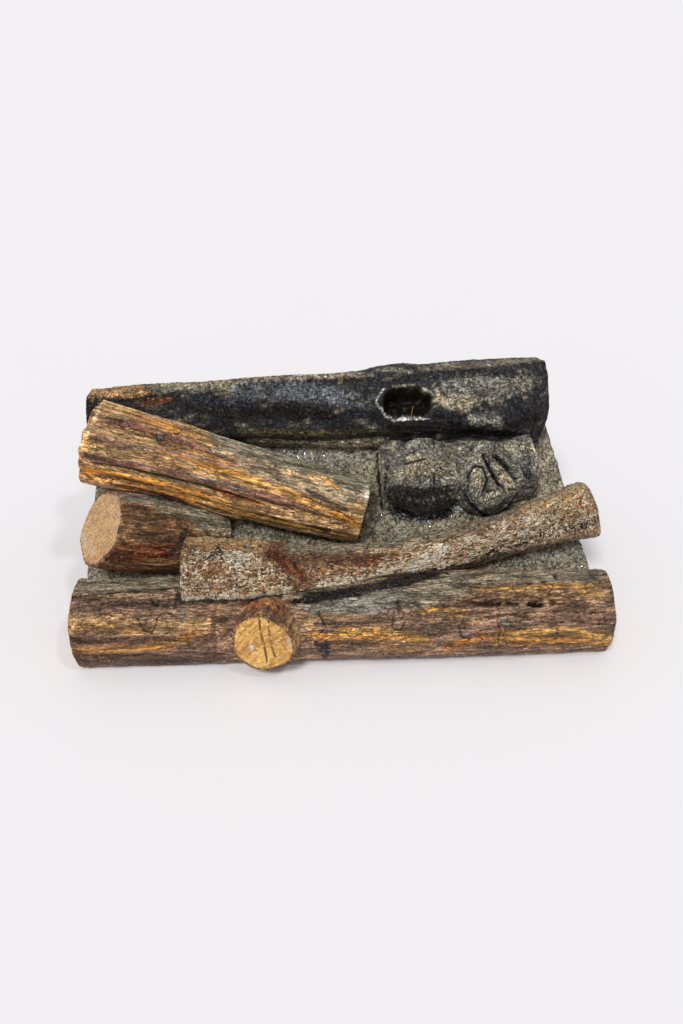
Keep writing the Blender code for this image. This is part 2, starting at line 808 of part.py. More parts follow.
def make_feet(bench):
    """Rubber feet, each pushed through the tray and held by its barb."""
    barb_foot = TRAY_FLOOR + FIT_GAP
    profile = (
        (0, barb_foot + FOOT_BARB_HEIGHT),
        (FOOT_STEM_RADIUS, barb_foot + FOOT_BARB_HEIGHT),
        (FOOT_BARB_RADIUS, barb_foot),
        (FOOT_STEM_RADIUS, barb_foot),
        (FOOT_STEM_RADIUS, FOOT_HEIGHT),
        (FOOT_RADIUS, FOOT_HEIGHT),
        (FOOT_RADIUS, 0),
        (0, 0),
    )
    corners = tray_outline(FOOT_INSET)
    for corner, (x, y) in zip(("front_left", "front_right", "rear_right", "rear_left"), corners):
        smooth(bench.turned(f"foot_{corner}", profile, (x, y, 0), "rubber", SMALL_STEPS))


def make_grommet(bench):
    half = SHEET / 2 + FIT_GAP
    out = half + GROMMET_FLANGE
    profile = (
        (GROMMET_BORE_RADIUS, out),
        (GROMMET_RADIUS, out),
        (GROMMET_RADIUS, half),
        (GROMMET_NECK_RADIUS, half),
        (GROMMET_NECK_RADIUS, -half),
        (GROMMET_RADIUS, -half),
        (GROMMET_RADIUS, -out),
        (GROMMET_BORE_RADIUS, -out),
    )
    turn = Matrix.Rotation(math.pi / 2, 4, "X")
    smooth(bench.turned("cable_grommet", profile, inlet_place(), "rubber", ROUND_STEPS, turn))


def make_screw(bench, name, place, seat, foot):
    """A slotted pan-head screw whose head sits on seat and whose tail ends at foot."""
    head = seat + FIT_GAP
    profile = (
        (0, head + SCREW_HEAD_HEIGHT),
        (SCREW_HEAD_RADIUS * SCREW_CROWN_SHARE, head + SCREW_HEAD_HEIGHT),
        (SCREW_HEAD_RADIUS, head + SCREW_HEAD_HEIGHT / 2),
        (SCREW_HEAD_RADIUS, head),
        (SCREW_RADIUS, head),
        (SCREW_RADIUS, foot),
        (0, foot),
    )
    screw = bench.turned(name, profile, place, "spring_steel", SMALL_STEPS)
    slot = upright(
        bench,
        name + "_slot",
        rectangle(4 * SCREW_HEAD_RADIUS, SLOT_WIDTH, place),
        head + SCREW_HEAD_HEIGHT - SLOT_DEPTH,
        head + 2 * SCREW_HEAD_HEIGHT,
    )
    combine(screw, slot)
    return screw


def rectangle(length, width, place):
    """Corners of a rectangle centred at place, length along X and width along Y."""
    x, y = place[0], place[1]
    return (
        (x - length / 2, y - width / 2),
        (x + length / 2, y - width / 2),
        (x + length / 2, y + width / 2),
        (x - length / 2, y + width / 2),
    )


def make_holder(bench, side, lamp):
    """A porcelain lampholder: a long base with a round cup for the lamp's thread."""
    low = TRAY_FLOOR + FIT_GAP
    plan = rectangle(HOLDER_WIDTH, HOLDER_LENGTH, lamp)
    base = upright(bench, f"lampholder_{side}", plan, low, low + HOLDER_BASE, "porcelain")
    rim, root = low + HOLDER_HEIGHT, low + HOLDER_BASE / 2
    cup = ((0, rim), (HOLDER_RADIUS, rim), (HOLDER_RADIUS, root), (0, root))
    combine(base, bench.turned(f"cup_{side}", cup, lamp), "UNION")
    bore, mouth = THREAD_SHELL_RADIUS + FIT_GAP, low + 2 * HOLDER_HEIGHT
    well = ((0, mouth), (bore, mouth), (bore, holder_floor()), (0, holder_floor()))
    combine(base, bench.turned(f"well_{side}", well, lamp))
    for end, y in screw_places(lamp.y):
        drill(bench, base, f"holder_hole_{side}_{end}", SCREW_RADIUS + FIT_GAP, 0, rim, (lamp.x, y, 0))
    foot = holder_floor() + FIT_GAP
    inner, top = THREAD_SHELL_RADIUS - THREAD_SHELL_WALL, foot + THREAD_SHELL_HEIGHT
    shell = ((inner, top), (THREAD_SHELL_RADIUS, top), (THREAD_SHELL_RADIUS, foot), (inner, foot))
    smooth(bench.turned(f"thread_shell_{side}", shell, lamp, "brass"))
    top = foot + CONTACT_HEIGHT
    contact = ((0, top), (CONTACT_RADIUS, top), (CONTACT_RADIUS, foot), (0, foot))
    smooth(bench.turned(f"centre_contact_{side}", contact, lamp, "brass", SMALL_STEPS))


def make_lamp(bench, side, lamp):
    """A small screw lamp: brass cap, lacquered bulb, glass stem and filament."""
    foot = cap_foot()
    rim = foot + CAP_HEIGHT
    inner = CAP_RADIUS - CAP_WALL
    cap = (
        (0, foot + CAP_WALL),
        (CONTACT_RADIUS, foot + CAP_WALL),
        (inner, foot + CAP_RADIUS / 2 + CAP_WALL),
        (inner, rim),
        (CAP_RADIUS, rim),
        (CAP_RADIUS, foot + CAP_RADIUS / 2),
        (CONTACT_RADIUS, foot),
        (0, foot),
    )
    smooth(bench.turned(f"lamp_cap_{side}", cap, lamp, "brass"))
    neck = inner - FIT_GAP
    glass_foot = rim - GLASS_INSERT
    outer = [(LAMP_RADIUS * r, glass_foot + LAMP_GLASS_HEIGHT * z) for r, z in LAMP_OUTLINE_SHARES]
    outer += [(neck, glass_foot + GLASS_INSERT + GLASS_WALL), (neck, glass_foot)]
    middle = glass_foot + LAMP_GLASS_HEIGHT / 2
    within = [(max(r - GLASS_WALL, 0), z - GLASS_WALL if z > middle else z) for r, z in outer]
    smooth(bench.turned(f"lamp_glass_{side}", (*outer, *reversed(within)), lamp, "amber_glass"))
    stem_foot = foot + CAP_WALL + FIT_GAP
    stem_top = stem_foot + STEM_HEIGHT
    stem = ((0, stem_top), (STEM_RADIUS, stem_top - STEM_RADIUS), (STEM_RADIUS, stem_foot), (0, stem_foot))
    smooth(bench.turned(f"lamp_stem_{side}", stem, lamp, "clear_glass", SMALL_STEPS))
    make_filament(bench, side, lamp, stem_top)


def make_filament(bench, side, lamp, stem_top):
    """One bent wire: it stands on the stem's shoulder, rises, and zigzags across."""
    half = STEM_RADIUS * FILAMENT_SPREAD_SHARE
    foot = stem_top - STEM_RADIUS + FILAMENT_WIRE + FIT_GAP * 2
    top = stem_top + FILAMENT_HEIGHT
    dip = FILAMENT_HEIGHT * FILAMENT_DIP_SHARE
    step = half / FILAMENT_TURNS
    zigzag = [
        lamp + Vector((-half + step * index, 0, top - (dip if index % 2 else 0)))
        for index in range(2 * FILAMENT_TURNS + 1)
    ]
    points = [lamp + Vector((-half, 0, foot)), *zigzag, lamp + Vector((half, 0, foot))]
    bench.wire(f"filament_{side}", points, FILAMENT_WIRE, "filament_wire", resolution=0)


def make_stirrup(bench, side, lamp):
    """A bent strip over the lamp, its feet on the lampholder's base, with the needle in its top."""
    foot = TRAY_FLOOR + FIT_GAP + HOLDER_BASE + FIT_GAP
    top = stirrup_top()
    reach, sheet = screw_reach() - STIRRUP_FOOT / 2, STIRRUP_SHEET
    toe = reach + STIRRUP_FOOT
    outline = (
        (-toe, foot), (-reach, foot), (-reach, top - sheet), (reach, top - sheet), (reach, foot), (toe, foot),
        (toe, foot + sheet), (reach + sheet, foot + sheet), (reach + sheet, top), (-reach - sheet, top),
        (-reach - sheet, foot + sheet), (-toe, foot + sheet),
    )
    turn = Matrix(((0, 0, 1, lamp.x), (1, 0, 0, lamp.y), (0, 1, 0, 0), (0, 0, 0, 1)))
    strip = bench.plate(f"stirrup_{side}", outline, STIRRUP_STRIP, turn, "spring_steel")
    drill(bench, strip, f"needle_hole_{side}", NEEDLE_RADIUS + FIT_GAP, top - 2 * sheet, top + sheet, lamp)
    bore = SCREW_RADIUS + FIT_GAP
    for end, y in screw_places(lamp.y):
        place = (lamp.x, y, 0)
        drill(bench, strip, f"strip_hole_{side}_{end}", bore, foot - sheet, foot + 2 * sheet, place)
        make_screw(bench, f"screw_{side}_{end}", place, foot + sheet, TRAY_UNDER - SCREW_TAIL)
    tip = needle_tip()
    needle = (
        (0, tip),
        (NEEDLE_RADIUS, tip - NEEDLE_POINT),
        (NEEDLE_RADIUS, top + FIT_GAP + sheet / 2),
        (2 * NEEDLE_RADIUS, top + FIT_GAP + sheet / 2),
        (2 * NEEDLE_RADIUS, top + FIT_GAP),
        (NEEDLE_RADIUS, top + FIT_GAP),
        (NEEDLE_RADIUS, top - sheet),
        (0, top - sheet),
    )
    smooth(bench.turned(f"needle_{side}", needle, lamp, "spring_steel", SMALL_STEPS))


def make_spinner(bench, side, lamp):
    """A stamped disc with pitched vanes between hub and rim, carried by a cup on the needle."""
    disc_foot = needle_tip() - CUP_HEIGHT + CUP_WALL + CUP_FLANGE
    disc_top = disc_foot + SPINNER_SHEET
    hole = CUP_RADIUS + FIT_GAP
    edge = SPINNER_HUB_RADIUS
    hub = ((hole, disc_top), (edge, disc_top), (edge, disc_foot), (hole, disc_foot))
    disc = bench.turned(f"spinner_disc_{side}", hub, lamp, "spinner_aluminium")
    rim_inner, rim_outer = SPINNER_RADIUS - SPINNER_RIM, SPINNER_RADIUS
    rim = ((rim_inner, disc_top), (rim_outer, disc_top), (rim_outer, disc_foot), (rim_inner, disc_foot))
    rim_ring = bench.turned(f"spinner_rim_{side}", rim, lamp)
    vane_from, vane_to = SPINNER_HUB_RADIUS - VANE_BITE, rim_inner + VANE_BITE
    vanes = []
    for index in range(SPINNER_VANES):
        turn = Matrix.Rotation(math.tau * index / SPINNER_VANES, 4, "Z")
        place = Matrix.Translation((lamp.x, lamp.y, (disc_foot + disc_top) / 2)) @ turn
        place = place @ Matrix.Rotation(VANE_PITCH, 4, "X")
        outline = rectangle(vane_to - vane_from, VANE_WIDTH, ((vane_from + vane_to) / 2, 0))
        vanes.append(bench.plate(f"vane_{side}_{index}", outline, SPINNER_SHEET, place))
    for vane in vanes:
        combine(disc, vane, "UNION")
    combine(disc, rim_ring, "UNION")
    flange_foot = disc_top + FIT_GAP
    crown = spinner_top()
    cup_foot = crown - CUP_HEIGHT
    dimple = NEEDLE_RADIUS + CUP_WALL / 2
    cup = (
        (0, crown),
        (CUP_RADIUS, crown),
        (CUP_FLANGE_RADIUS, flange_foot + CUP_FLANGE),
        (CUP_FLANGE_RADIUS, flange_foot),
        (CUP_RADIUS, flange_foot),
        (CUP_RADIUS, cup_foot),
        (dimple, cup_foot),
        (dimple, needle_tip() - CUP_WALL),
        (0, needle_tip() + FIT_GAP),
    )
    holder = bench.turned(f"pivot_cup_{side}", cup, lamp, "brass", SMALL_STEPS)
    smooth(holder)
    hang(bench, f"spinner_axis_{side}", (lamp.x, lamp.y, needle_tip()), (disc, holder))


def make_block_and_leads(bench):
    """The terminal block behind the lamps, its two screws, and two leads to each lampholder."""
    middle = Vector((tray_middle_x(), BED_REAR - TRAY_CLEARANCE - BLOCK_SETBACK, 0))
    low = TRAY_FLOOR + FIT_GAP
    top = low + BLOCK_HEIGHT
    plan = rectangle(BLOCK_LENGTH, BLOCK_WIDTH, middle)
    block = upright(bench, "terminal_block", plan, low, top, "black_plastic")
    bore = SCREW_RADIUS + FIT_GAP
    for name, offset in (("live", -BLOCK_SCREW_SPACING / 2), ("neutral", BLOCK_SCREW_SPACING / 2)):
        place = middle + Vector((offset, 0, 0))
        drill(bench, block, f"block_hole_{name}", bore, top - BLOCK_SCREW_DEPTH, top + SHEET, place)
        make_screw(bench, f"terminal_screw_{name}", place, top, top - BLOCK_SCREW_DEPTH + FIT_GAP)
    lead_z = low + LEAD_RADIUS
    for side, lamp in lamp_places().items():
        away = -1 if side == "left" else 1
        for name, shift in (("live", -LEAD_SPACING / 2), ("neutral", LEAD_SPACING / 2)):
            start = Vector((middle.x + away * (BLOCK_LENGTH / 2 + FIT_GAP), middle.y + shift, lead_z))
            end = Vector((lamp.x - away * (HOLDER_WIDTH / 2 + FIT_GAP), lamp.y + shift, lead_z))
            points = []
            for index in range(LEAD_POINTS):
                share = index / (LEAD_POINTS - 1)
                sweep = share * share * (3 - 2 * share)
                points.append(Vector((
                    start.x + (end.x - start.x) * share,
                    start.y + (end.y - start.y) * sweep,
                    lead_z,
                )))
            smooth(bench.wire(f"lead_{side}_{name}", points, LEAD_RADIUS, "lead_sleeve"))


def make_brackets(bench, bed):
    """The angle brackets riveted inside the cheeks, which sit over the tray's end lips, and their rivets."""
    made = []
    ends = (-BED_SHOULDER, BED_REAR)
    cheeks = {
        "left": (*(Vector((left_x(BED_WALL), y, 0)) for y in ends), 1),
        "right": (*(Vector((right_x(y, BED_WALL), y, 0)) for y in ends), -1),
    }
    for side, (front, rear, inward) in cheeks.items():
        along = (rear - front).normalized()
        into = Vector((along.y, -along.x, 0)) * inward
        foot = front.lerp(rear, BRACKET_BACK_SHARE) + into * FIT_GAP
        foot.z = LIP_TOP + FIT_GAP
        sheet = BRACKET_SHEET
        reach, rise = BRACKET_REACH, BRACKET_RISE
        outline = ((0, 0), (reach, 0), (reach, sheet), (sheet, sheet), (sheet, rise), (0, rise))
        turn = Matrix((
            (into.x, 0, along.x, foot.x),
            (into.y, 0, along.y, foot.y),
            (0, 1, 0, foot.z),
            (0, 0, 0, 1),
        ))
        bracket = bench.plate(f"shell_bracket_{side}", outline, BRACKET_WIDTH, turn, "spring_steel")
        for end, shift in (("front", -RIVET_SPACING / 2), ("rear", RIVET_SPACING / 2)):
            place = foot + along * shift + Vector((0, 0, (rise + sheet) / 2))
            aim = into.to_track_quat("Z", "Y").to_matrix().to_4x4()
            seat = sheet + FIT_GAP
            bore = RIVET_RADIUS + FIT_GAP
            depth = -FIT_GAP - RIVET_BITE
            hole = ((0, 2 * seat), (bore, 2 * seat), (bore, depth), (0, depth))
            cutter = bench.turned(f"rivet_hole_{side}_{end}", hole, place, steps=SMALL_STEPS, matrix=aim)
            combine(bracket, cutter)
            combine(bed, cutter)
            rivet = (
                (0, seat + RIVET_HEAD_HEIGHT),
                (RIVET_HEAD_RADIUS * RIVET_CROWN_SHARE, seat + RIVET_HEAD_HEIGHT),
                (RIVET_HEAD_RADIUS, seat),
                (RIVET_RADIUS, seat),
                (RIVET_RADIUS, depth + FIT_GAP),
                (0, depth + FIT_GAP),
            )
            made.append(bench.turned(f"rivet_{side}_{end}", rivet, place, "spring_steel", SMALL_STEPS, aim))
            smooth(made[-1])
        made.append(bracket)
    return made


def main():
    clear_scene()
    bench = Bench()
    bed = make_bed(bench)
    logs = make_logs(bench)
    cut_burnt_hole(bench, logs["back_log"])
    cut_knot_groove(bench, logs["right_knot"])
    brackets = make_brackets(bench, bed)
    hang(bench, "shell_lift_axis", (0, 0, 0), (bed, *logs.values(), *brackets))
    make_tray(bench)
    make_feet(bench)
    make_grommet(bench)
    for side, lamp in lamp_places().items():
        make_holder(bench, side, lamp)
        make_lamp(bench, side, lamp)
        make_stirrup(bench, side, lamp)
        make_spinner(bench, side, lamp)
    make_block_and_leads(bench)
    for piece in logs.values():
        smooth(piece)


if __name__ == "__main__":
    main()
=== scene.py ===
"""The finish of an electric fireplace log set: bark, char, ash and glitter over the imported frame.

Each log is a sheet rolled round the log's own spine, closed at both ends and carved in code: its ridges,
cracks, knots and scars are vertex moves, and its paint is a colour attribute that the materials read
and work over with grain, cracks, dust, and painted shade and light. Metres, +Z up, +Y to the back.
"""

import json
import math
from collections import namedtuple

import bpy
import numpy as np
from bpy.props import FloatProperty, FloatVectorProperty, PointerProperty
from mathutils import Matrix, Vector


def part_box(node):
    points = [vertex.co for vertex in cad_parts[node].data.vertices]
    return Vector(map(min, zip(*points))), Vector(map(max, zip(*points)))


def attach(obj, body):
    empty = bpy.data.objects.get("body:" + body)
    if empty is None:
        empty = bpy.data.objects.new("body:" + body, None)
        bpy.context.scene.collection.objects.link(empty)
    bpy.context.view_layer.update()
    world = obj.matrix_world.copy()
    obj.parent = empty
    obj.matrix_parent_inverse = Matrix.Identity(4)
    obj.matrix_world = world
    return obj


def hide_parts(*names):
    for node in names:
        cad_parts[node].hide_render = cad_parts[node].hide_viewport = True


bl_info = {
    "name": "Fireplace Log Set",
    "version": (1, 0, 0),
    "blender": (4, 5, 0),
    "location": "3D View > Sidebar > Log Set",
    "description": "Carves and paints the logs, ember bed and lamp tray of an electric fireplace log set",
    "category": "Add Mesh",
}

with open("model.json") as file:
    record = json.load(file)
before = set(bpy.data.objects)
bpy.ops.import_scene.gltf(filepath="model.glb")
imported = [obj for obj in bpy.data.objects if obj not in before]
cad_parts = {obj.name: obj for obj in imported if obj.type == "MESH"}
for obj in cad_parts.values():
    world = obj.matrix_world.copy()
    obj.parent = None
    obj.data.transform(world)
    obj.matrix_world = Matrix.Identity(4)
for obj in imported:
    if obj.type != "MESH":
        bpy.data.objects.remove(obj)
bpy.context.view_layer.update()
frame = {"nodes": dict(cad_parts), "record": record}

# The bed that carries the logs, as the frame has it
BED_LOW, BED_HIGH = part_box("ember_bed")
HALF_WIDTH = BED_HIGH.x
BED_TOP = BED_HIGH.z
BED_REAR = BED_HIGH.y
BED_FRONT = BED_LOW.y
BED_WALL = 0.004
BED_SHOULDER = -0.085
BED_RIGHT_TAPER = 0.049
TOE_HALF_WIDTH = 0.286
TOE_TOP = 0.0045
SLOPE_FOOT = -0.102
SLOPE_FOOT_HEIGHT = 0.006
SLOPE_RUN = 0.230
SLOPE_RISE = BED_TOP - SLOPE_FOOT_HEIGHT
SLOPE = math.atan2(SLOPE_RISE, SLOPE_RUN)
SLOPE_LENGTH = math.hypot(SLOPE_RUN, SLOPE_RISE)
SLOPE_NORMAL = np.array((0, -math.sin(SLOPE), math.cos(SLOPE)))
SLOPE_UP = np.array((0, math.cos(SLOPE), math.sin(SLOPE)))
SLOPE_START = np.array((0, SLOPE_FOOT, SLOPE_FOOT_HEIGHT))
# How deep a log's underside sinks below the bed's even top, and the least height of anything
TUCK = 0.0022
LOWEST = 0.0004

# The camera: where it looks, from where, and how, in the picture's own pixels
CAMERA_TARGET = (0.003, 0.016, 0.088)
CAMERA_DISTANCE = 1.0
CAMERA_ELEVATION = math.radians(35)
CAMERA_ROLL = math.radians(1.5)
PICTURE_WIDTH, PICTURE_HEIGHT = 683, 1024
FOCAL_PIXELS = 832
FRAME_SHIFT_PIXELS = 0.5

# A log as the frame's solids have it: its spine's places across the bed, up the slope and above it, its
# girths, its lobes, its ridges and the lean of its sawn end
Log = namedtuple(
    "Log", "radius spine girths lobes ridges lean lean_turn end_lean", defaults=((), 0.0, 0.0, 0.0)
)
Ridge = namedtuple("Ridge", "turn half_turn rise start end")
RIDGE_FADE = 0.05
STANDING_SHARE = 0.6
LOG_CHAMFER = 0.003
LOGS = {
    "front_log": Log(
        0.046,
        ((-0.977, 0.036, 0.66), (-0.485, 0.034, 0.66), (0.010, 0.032, 0.66), (0.505, 0.032, 0.66),
         (0.980, 0.034, 0.67)),
        (1.03, 1.04, 1.02, 1.01, 0.97),
        ((5, 0.022, 0.4, 1.2), (9, 0.016, 1.7, -0.8)),
    ),
    "back_log": Log(
        0.053,
        ((-1.010, 0.960, 0.44), (-0.596, 0.972, 0.44), (-0.091, 0.978, 0.45), (0.414, 0.985, 0.46),
         (0.811, 0.992, 0.47)),
        (0.64, 0.75, 0.86, 0.94, 1.00),
        ((4, 0.030, 0.9, 1.5), (7, 0.022, 0.3, -1.1)),
        (
            Ridge(120, 15, 0.040, 0.16, 1.0),
            Ridge(108, 11, -0.055, 0.32, 0.98),
            Ridge(144, 22, 0.080, 0.63, 0.66),
            Ridge(36, 24, 0.090, 0.81, 0.88),
            Ridge(120, 30, 0.055, 0.0, 0.13),
            Ridge(96, 12, -0.060, 0.05, 0.18),
            Ridge(12, 14, -0.050, 0.2, 0.72),
            Ridge(84, 20, 0.035, 0.24, 0.54),
        ),
        end_lean=0.20,
    ),
    "short_log": Log(
        0.045,
        ((-0.946, 0.398, 1.44), (-0.788, 0.402, 0.86), (-0.616, 0.407, 0.26), (-0.495, 0.410, -0.20)),
        (0.98, 1.00, 0.98, 0.94),
        ((5, 0.025, 1.9, 0.7), (8, 0.015, 0.2, 0.9)),
        lean=0.30,
        lean_turn=95,
    ),
    "charred_log": Log(
        0.040,
        ((0.172, 0.66, 0.30), (0.374, 0.67, 0.30), (0.586, 0.68, 0.30), (0.783, 0.70, 0.28)),
        (0.92, 1.00, 1.04, 0.98),
        ((4, 0.045, 0.5, 1.3), (7, 0.035, 1.1, -1.6)),
    ),
    "left_knot": Log(
        0.043,
        ((0.331, 0.655, -0.10), (0.329, 0.632, 0.55), (0.325, 0.608, 1.20), (0.321, 0.590, 1.72)),
        (1.00, 1.05, 0.96, 0.62),
        ((3, 0.050, 0.3, 0.4), (5, 0.030, 1.4, 0.2)),
    ),
    "right_knot": Log(
        0.042,
        ((0.586, 0.640, -0.10), (0.583, 0.625, 0.50), (0.578, 0.610, 1.05), (0.572, 0.598, 1.50)),
        (1.05, 1.05, 0.92, 0.70),
        ((3, 0.040, 1.2, 0.3), (4, 0.030, 0.6, -0.2)),
    ),
    "split_log": Log(
        0.047,
        ((-0.962, 0.783, 1.30), (-0.707, 0.712, 1.12), (-0.424, 0.628, 0.92), (-0.141, 0.545, 0.74),
         (0.096, 0.480, 0.55)),
        (1.00, 0.97, 0.90, 0.84, 0.76),
        ((5, 0.040, 0.8, 0.5), (9, 0.025, 0.1, 0.4)),
        (
            Ridge(156, 13, 0.064, 0.0, 1.0),
            Ridge(132, 14, -0.050, 0.0, 0.9),
            Ridge(108, 13, 0.058, 0.0, 0.9),
            Ridge(90, 9, -0.038, 0.0, 0.8),
            Ridge(78, 9, 0.047, 0.0, 0.8),
            Ridge(66, 8, -0.047, 0.0, 0.9),
            Ridge(54, 9, 0.090, 0.0, 0.9),
            Ridge(42, 9, -0.068, 0.0, 0.9),
            Ridge(30, 10, 0.034, 0.0, 1.0),
            Ridge(18, 8, -0.030, 0.0, 1.0),
            Ridge(6, 9, 0.028, 0.0, 1.0),
            Ridge(180, 12, -0.030, 0.0, 1.0),
        ),
    ),
    "birch_log": Log(
        0.036,
        ((-0.571, 0.195, 1.95), (-0.343, 0.185, 1.85), (-0.091, 0.190, 1.55), (0.232, 0.245, 1.10),
         (0.596, 0.355, 0.70), (0.818, 0.425, 0.68), (0.978, 0.470, 0.72)),
        (1.02, 1.00, 0.84, 0.68, 0.70, 0.80, 0.96),
        ((4, 0.030, 0.2, 0.8), (7, 0.020, 1.0, 0.5)),
    ),
    "front_branch": Log(
        0.035,
        ((-0.246, 0.033, 1.030), (-0.266, -0.037, 1.537), (-0.283, -0.106, 2.057)),
        (1.25, 1.08, 1.00),
        ((3, 0.030, 0.6, 0.2), (6, 0.015, 0.9, 0.1)),
    ),
}


def srgb(red, green, blue):
    """A colour written as 0 to 255 on screen, in the linear values that shaders use."""
    parts = []
    for part in (red, green, blue):
        part /= 255
        parts.append(part / 12.92 if part <= 0.04045 else ((part + 0.055) / 1.055) ** 2.4)
    return tuple(parts)


# The painter's pots
POTS = {
    "mauve": srgb(150, 116, 92),
    "plum": srgb(112, 76, 62),
    "tan": srgb(190, 150, 100),
    "pale tan": srgb(214, 180, 132),
    "brown": srgb(124, 88, 56),
    "dark brown": srgb(70, 44, 26),
    "ochre": srgb(194, 140, 70),
    "orange": srgb(208, 136, 52),
    "gold": srgb(222, 172, 92),
    "rust": srgb(156, 92, 46),
    "red brown": srgb(96, 40, 16),
    "dusty": srgb(148, 136, 112),
    "olive dust": srgb(132, 126, 104),
    "khaki": srgb(156, 146, 122),
    "grey": srgb(128, 124, 112),
    # Black for dark cracks and char lines, and for painted shadows under and between the logs
    "soot": srgb(20, 18, 16),
    "char": srgb(32, 33, 36),
    "blue char": srgb(28, 33, 48),
    "satin char": srgb(92, 95, 99),
    "cream": srgb(226, 208, 178),
    "fresh wood": srgb(216, 172, 114),
    "white": srgb(244, 240, 230),
    "olive": srgb(78, 72, 44),
}

# A stroke of paint or carving, laid as it is seen from the front of the set: the pot, the path in the
# picture's pixels, its half width there, how strongly it covers, how far it lifts the bark in metres, and
# how glossy it dries
Stroke = namedtuple("Stroke", "pot path width cover rise gloss", defaults=(1.0, 0.0, 0.0))


def stroke_rows(*rows):
    """Strokes in the order in which they are laid."""
    return tuple(Stroke(*row) for row in rows)


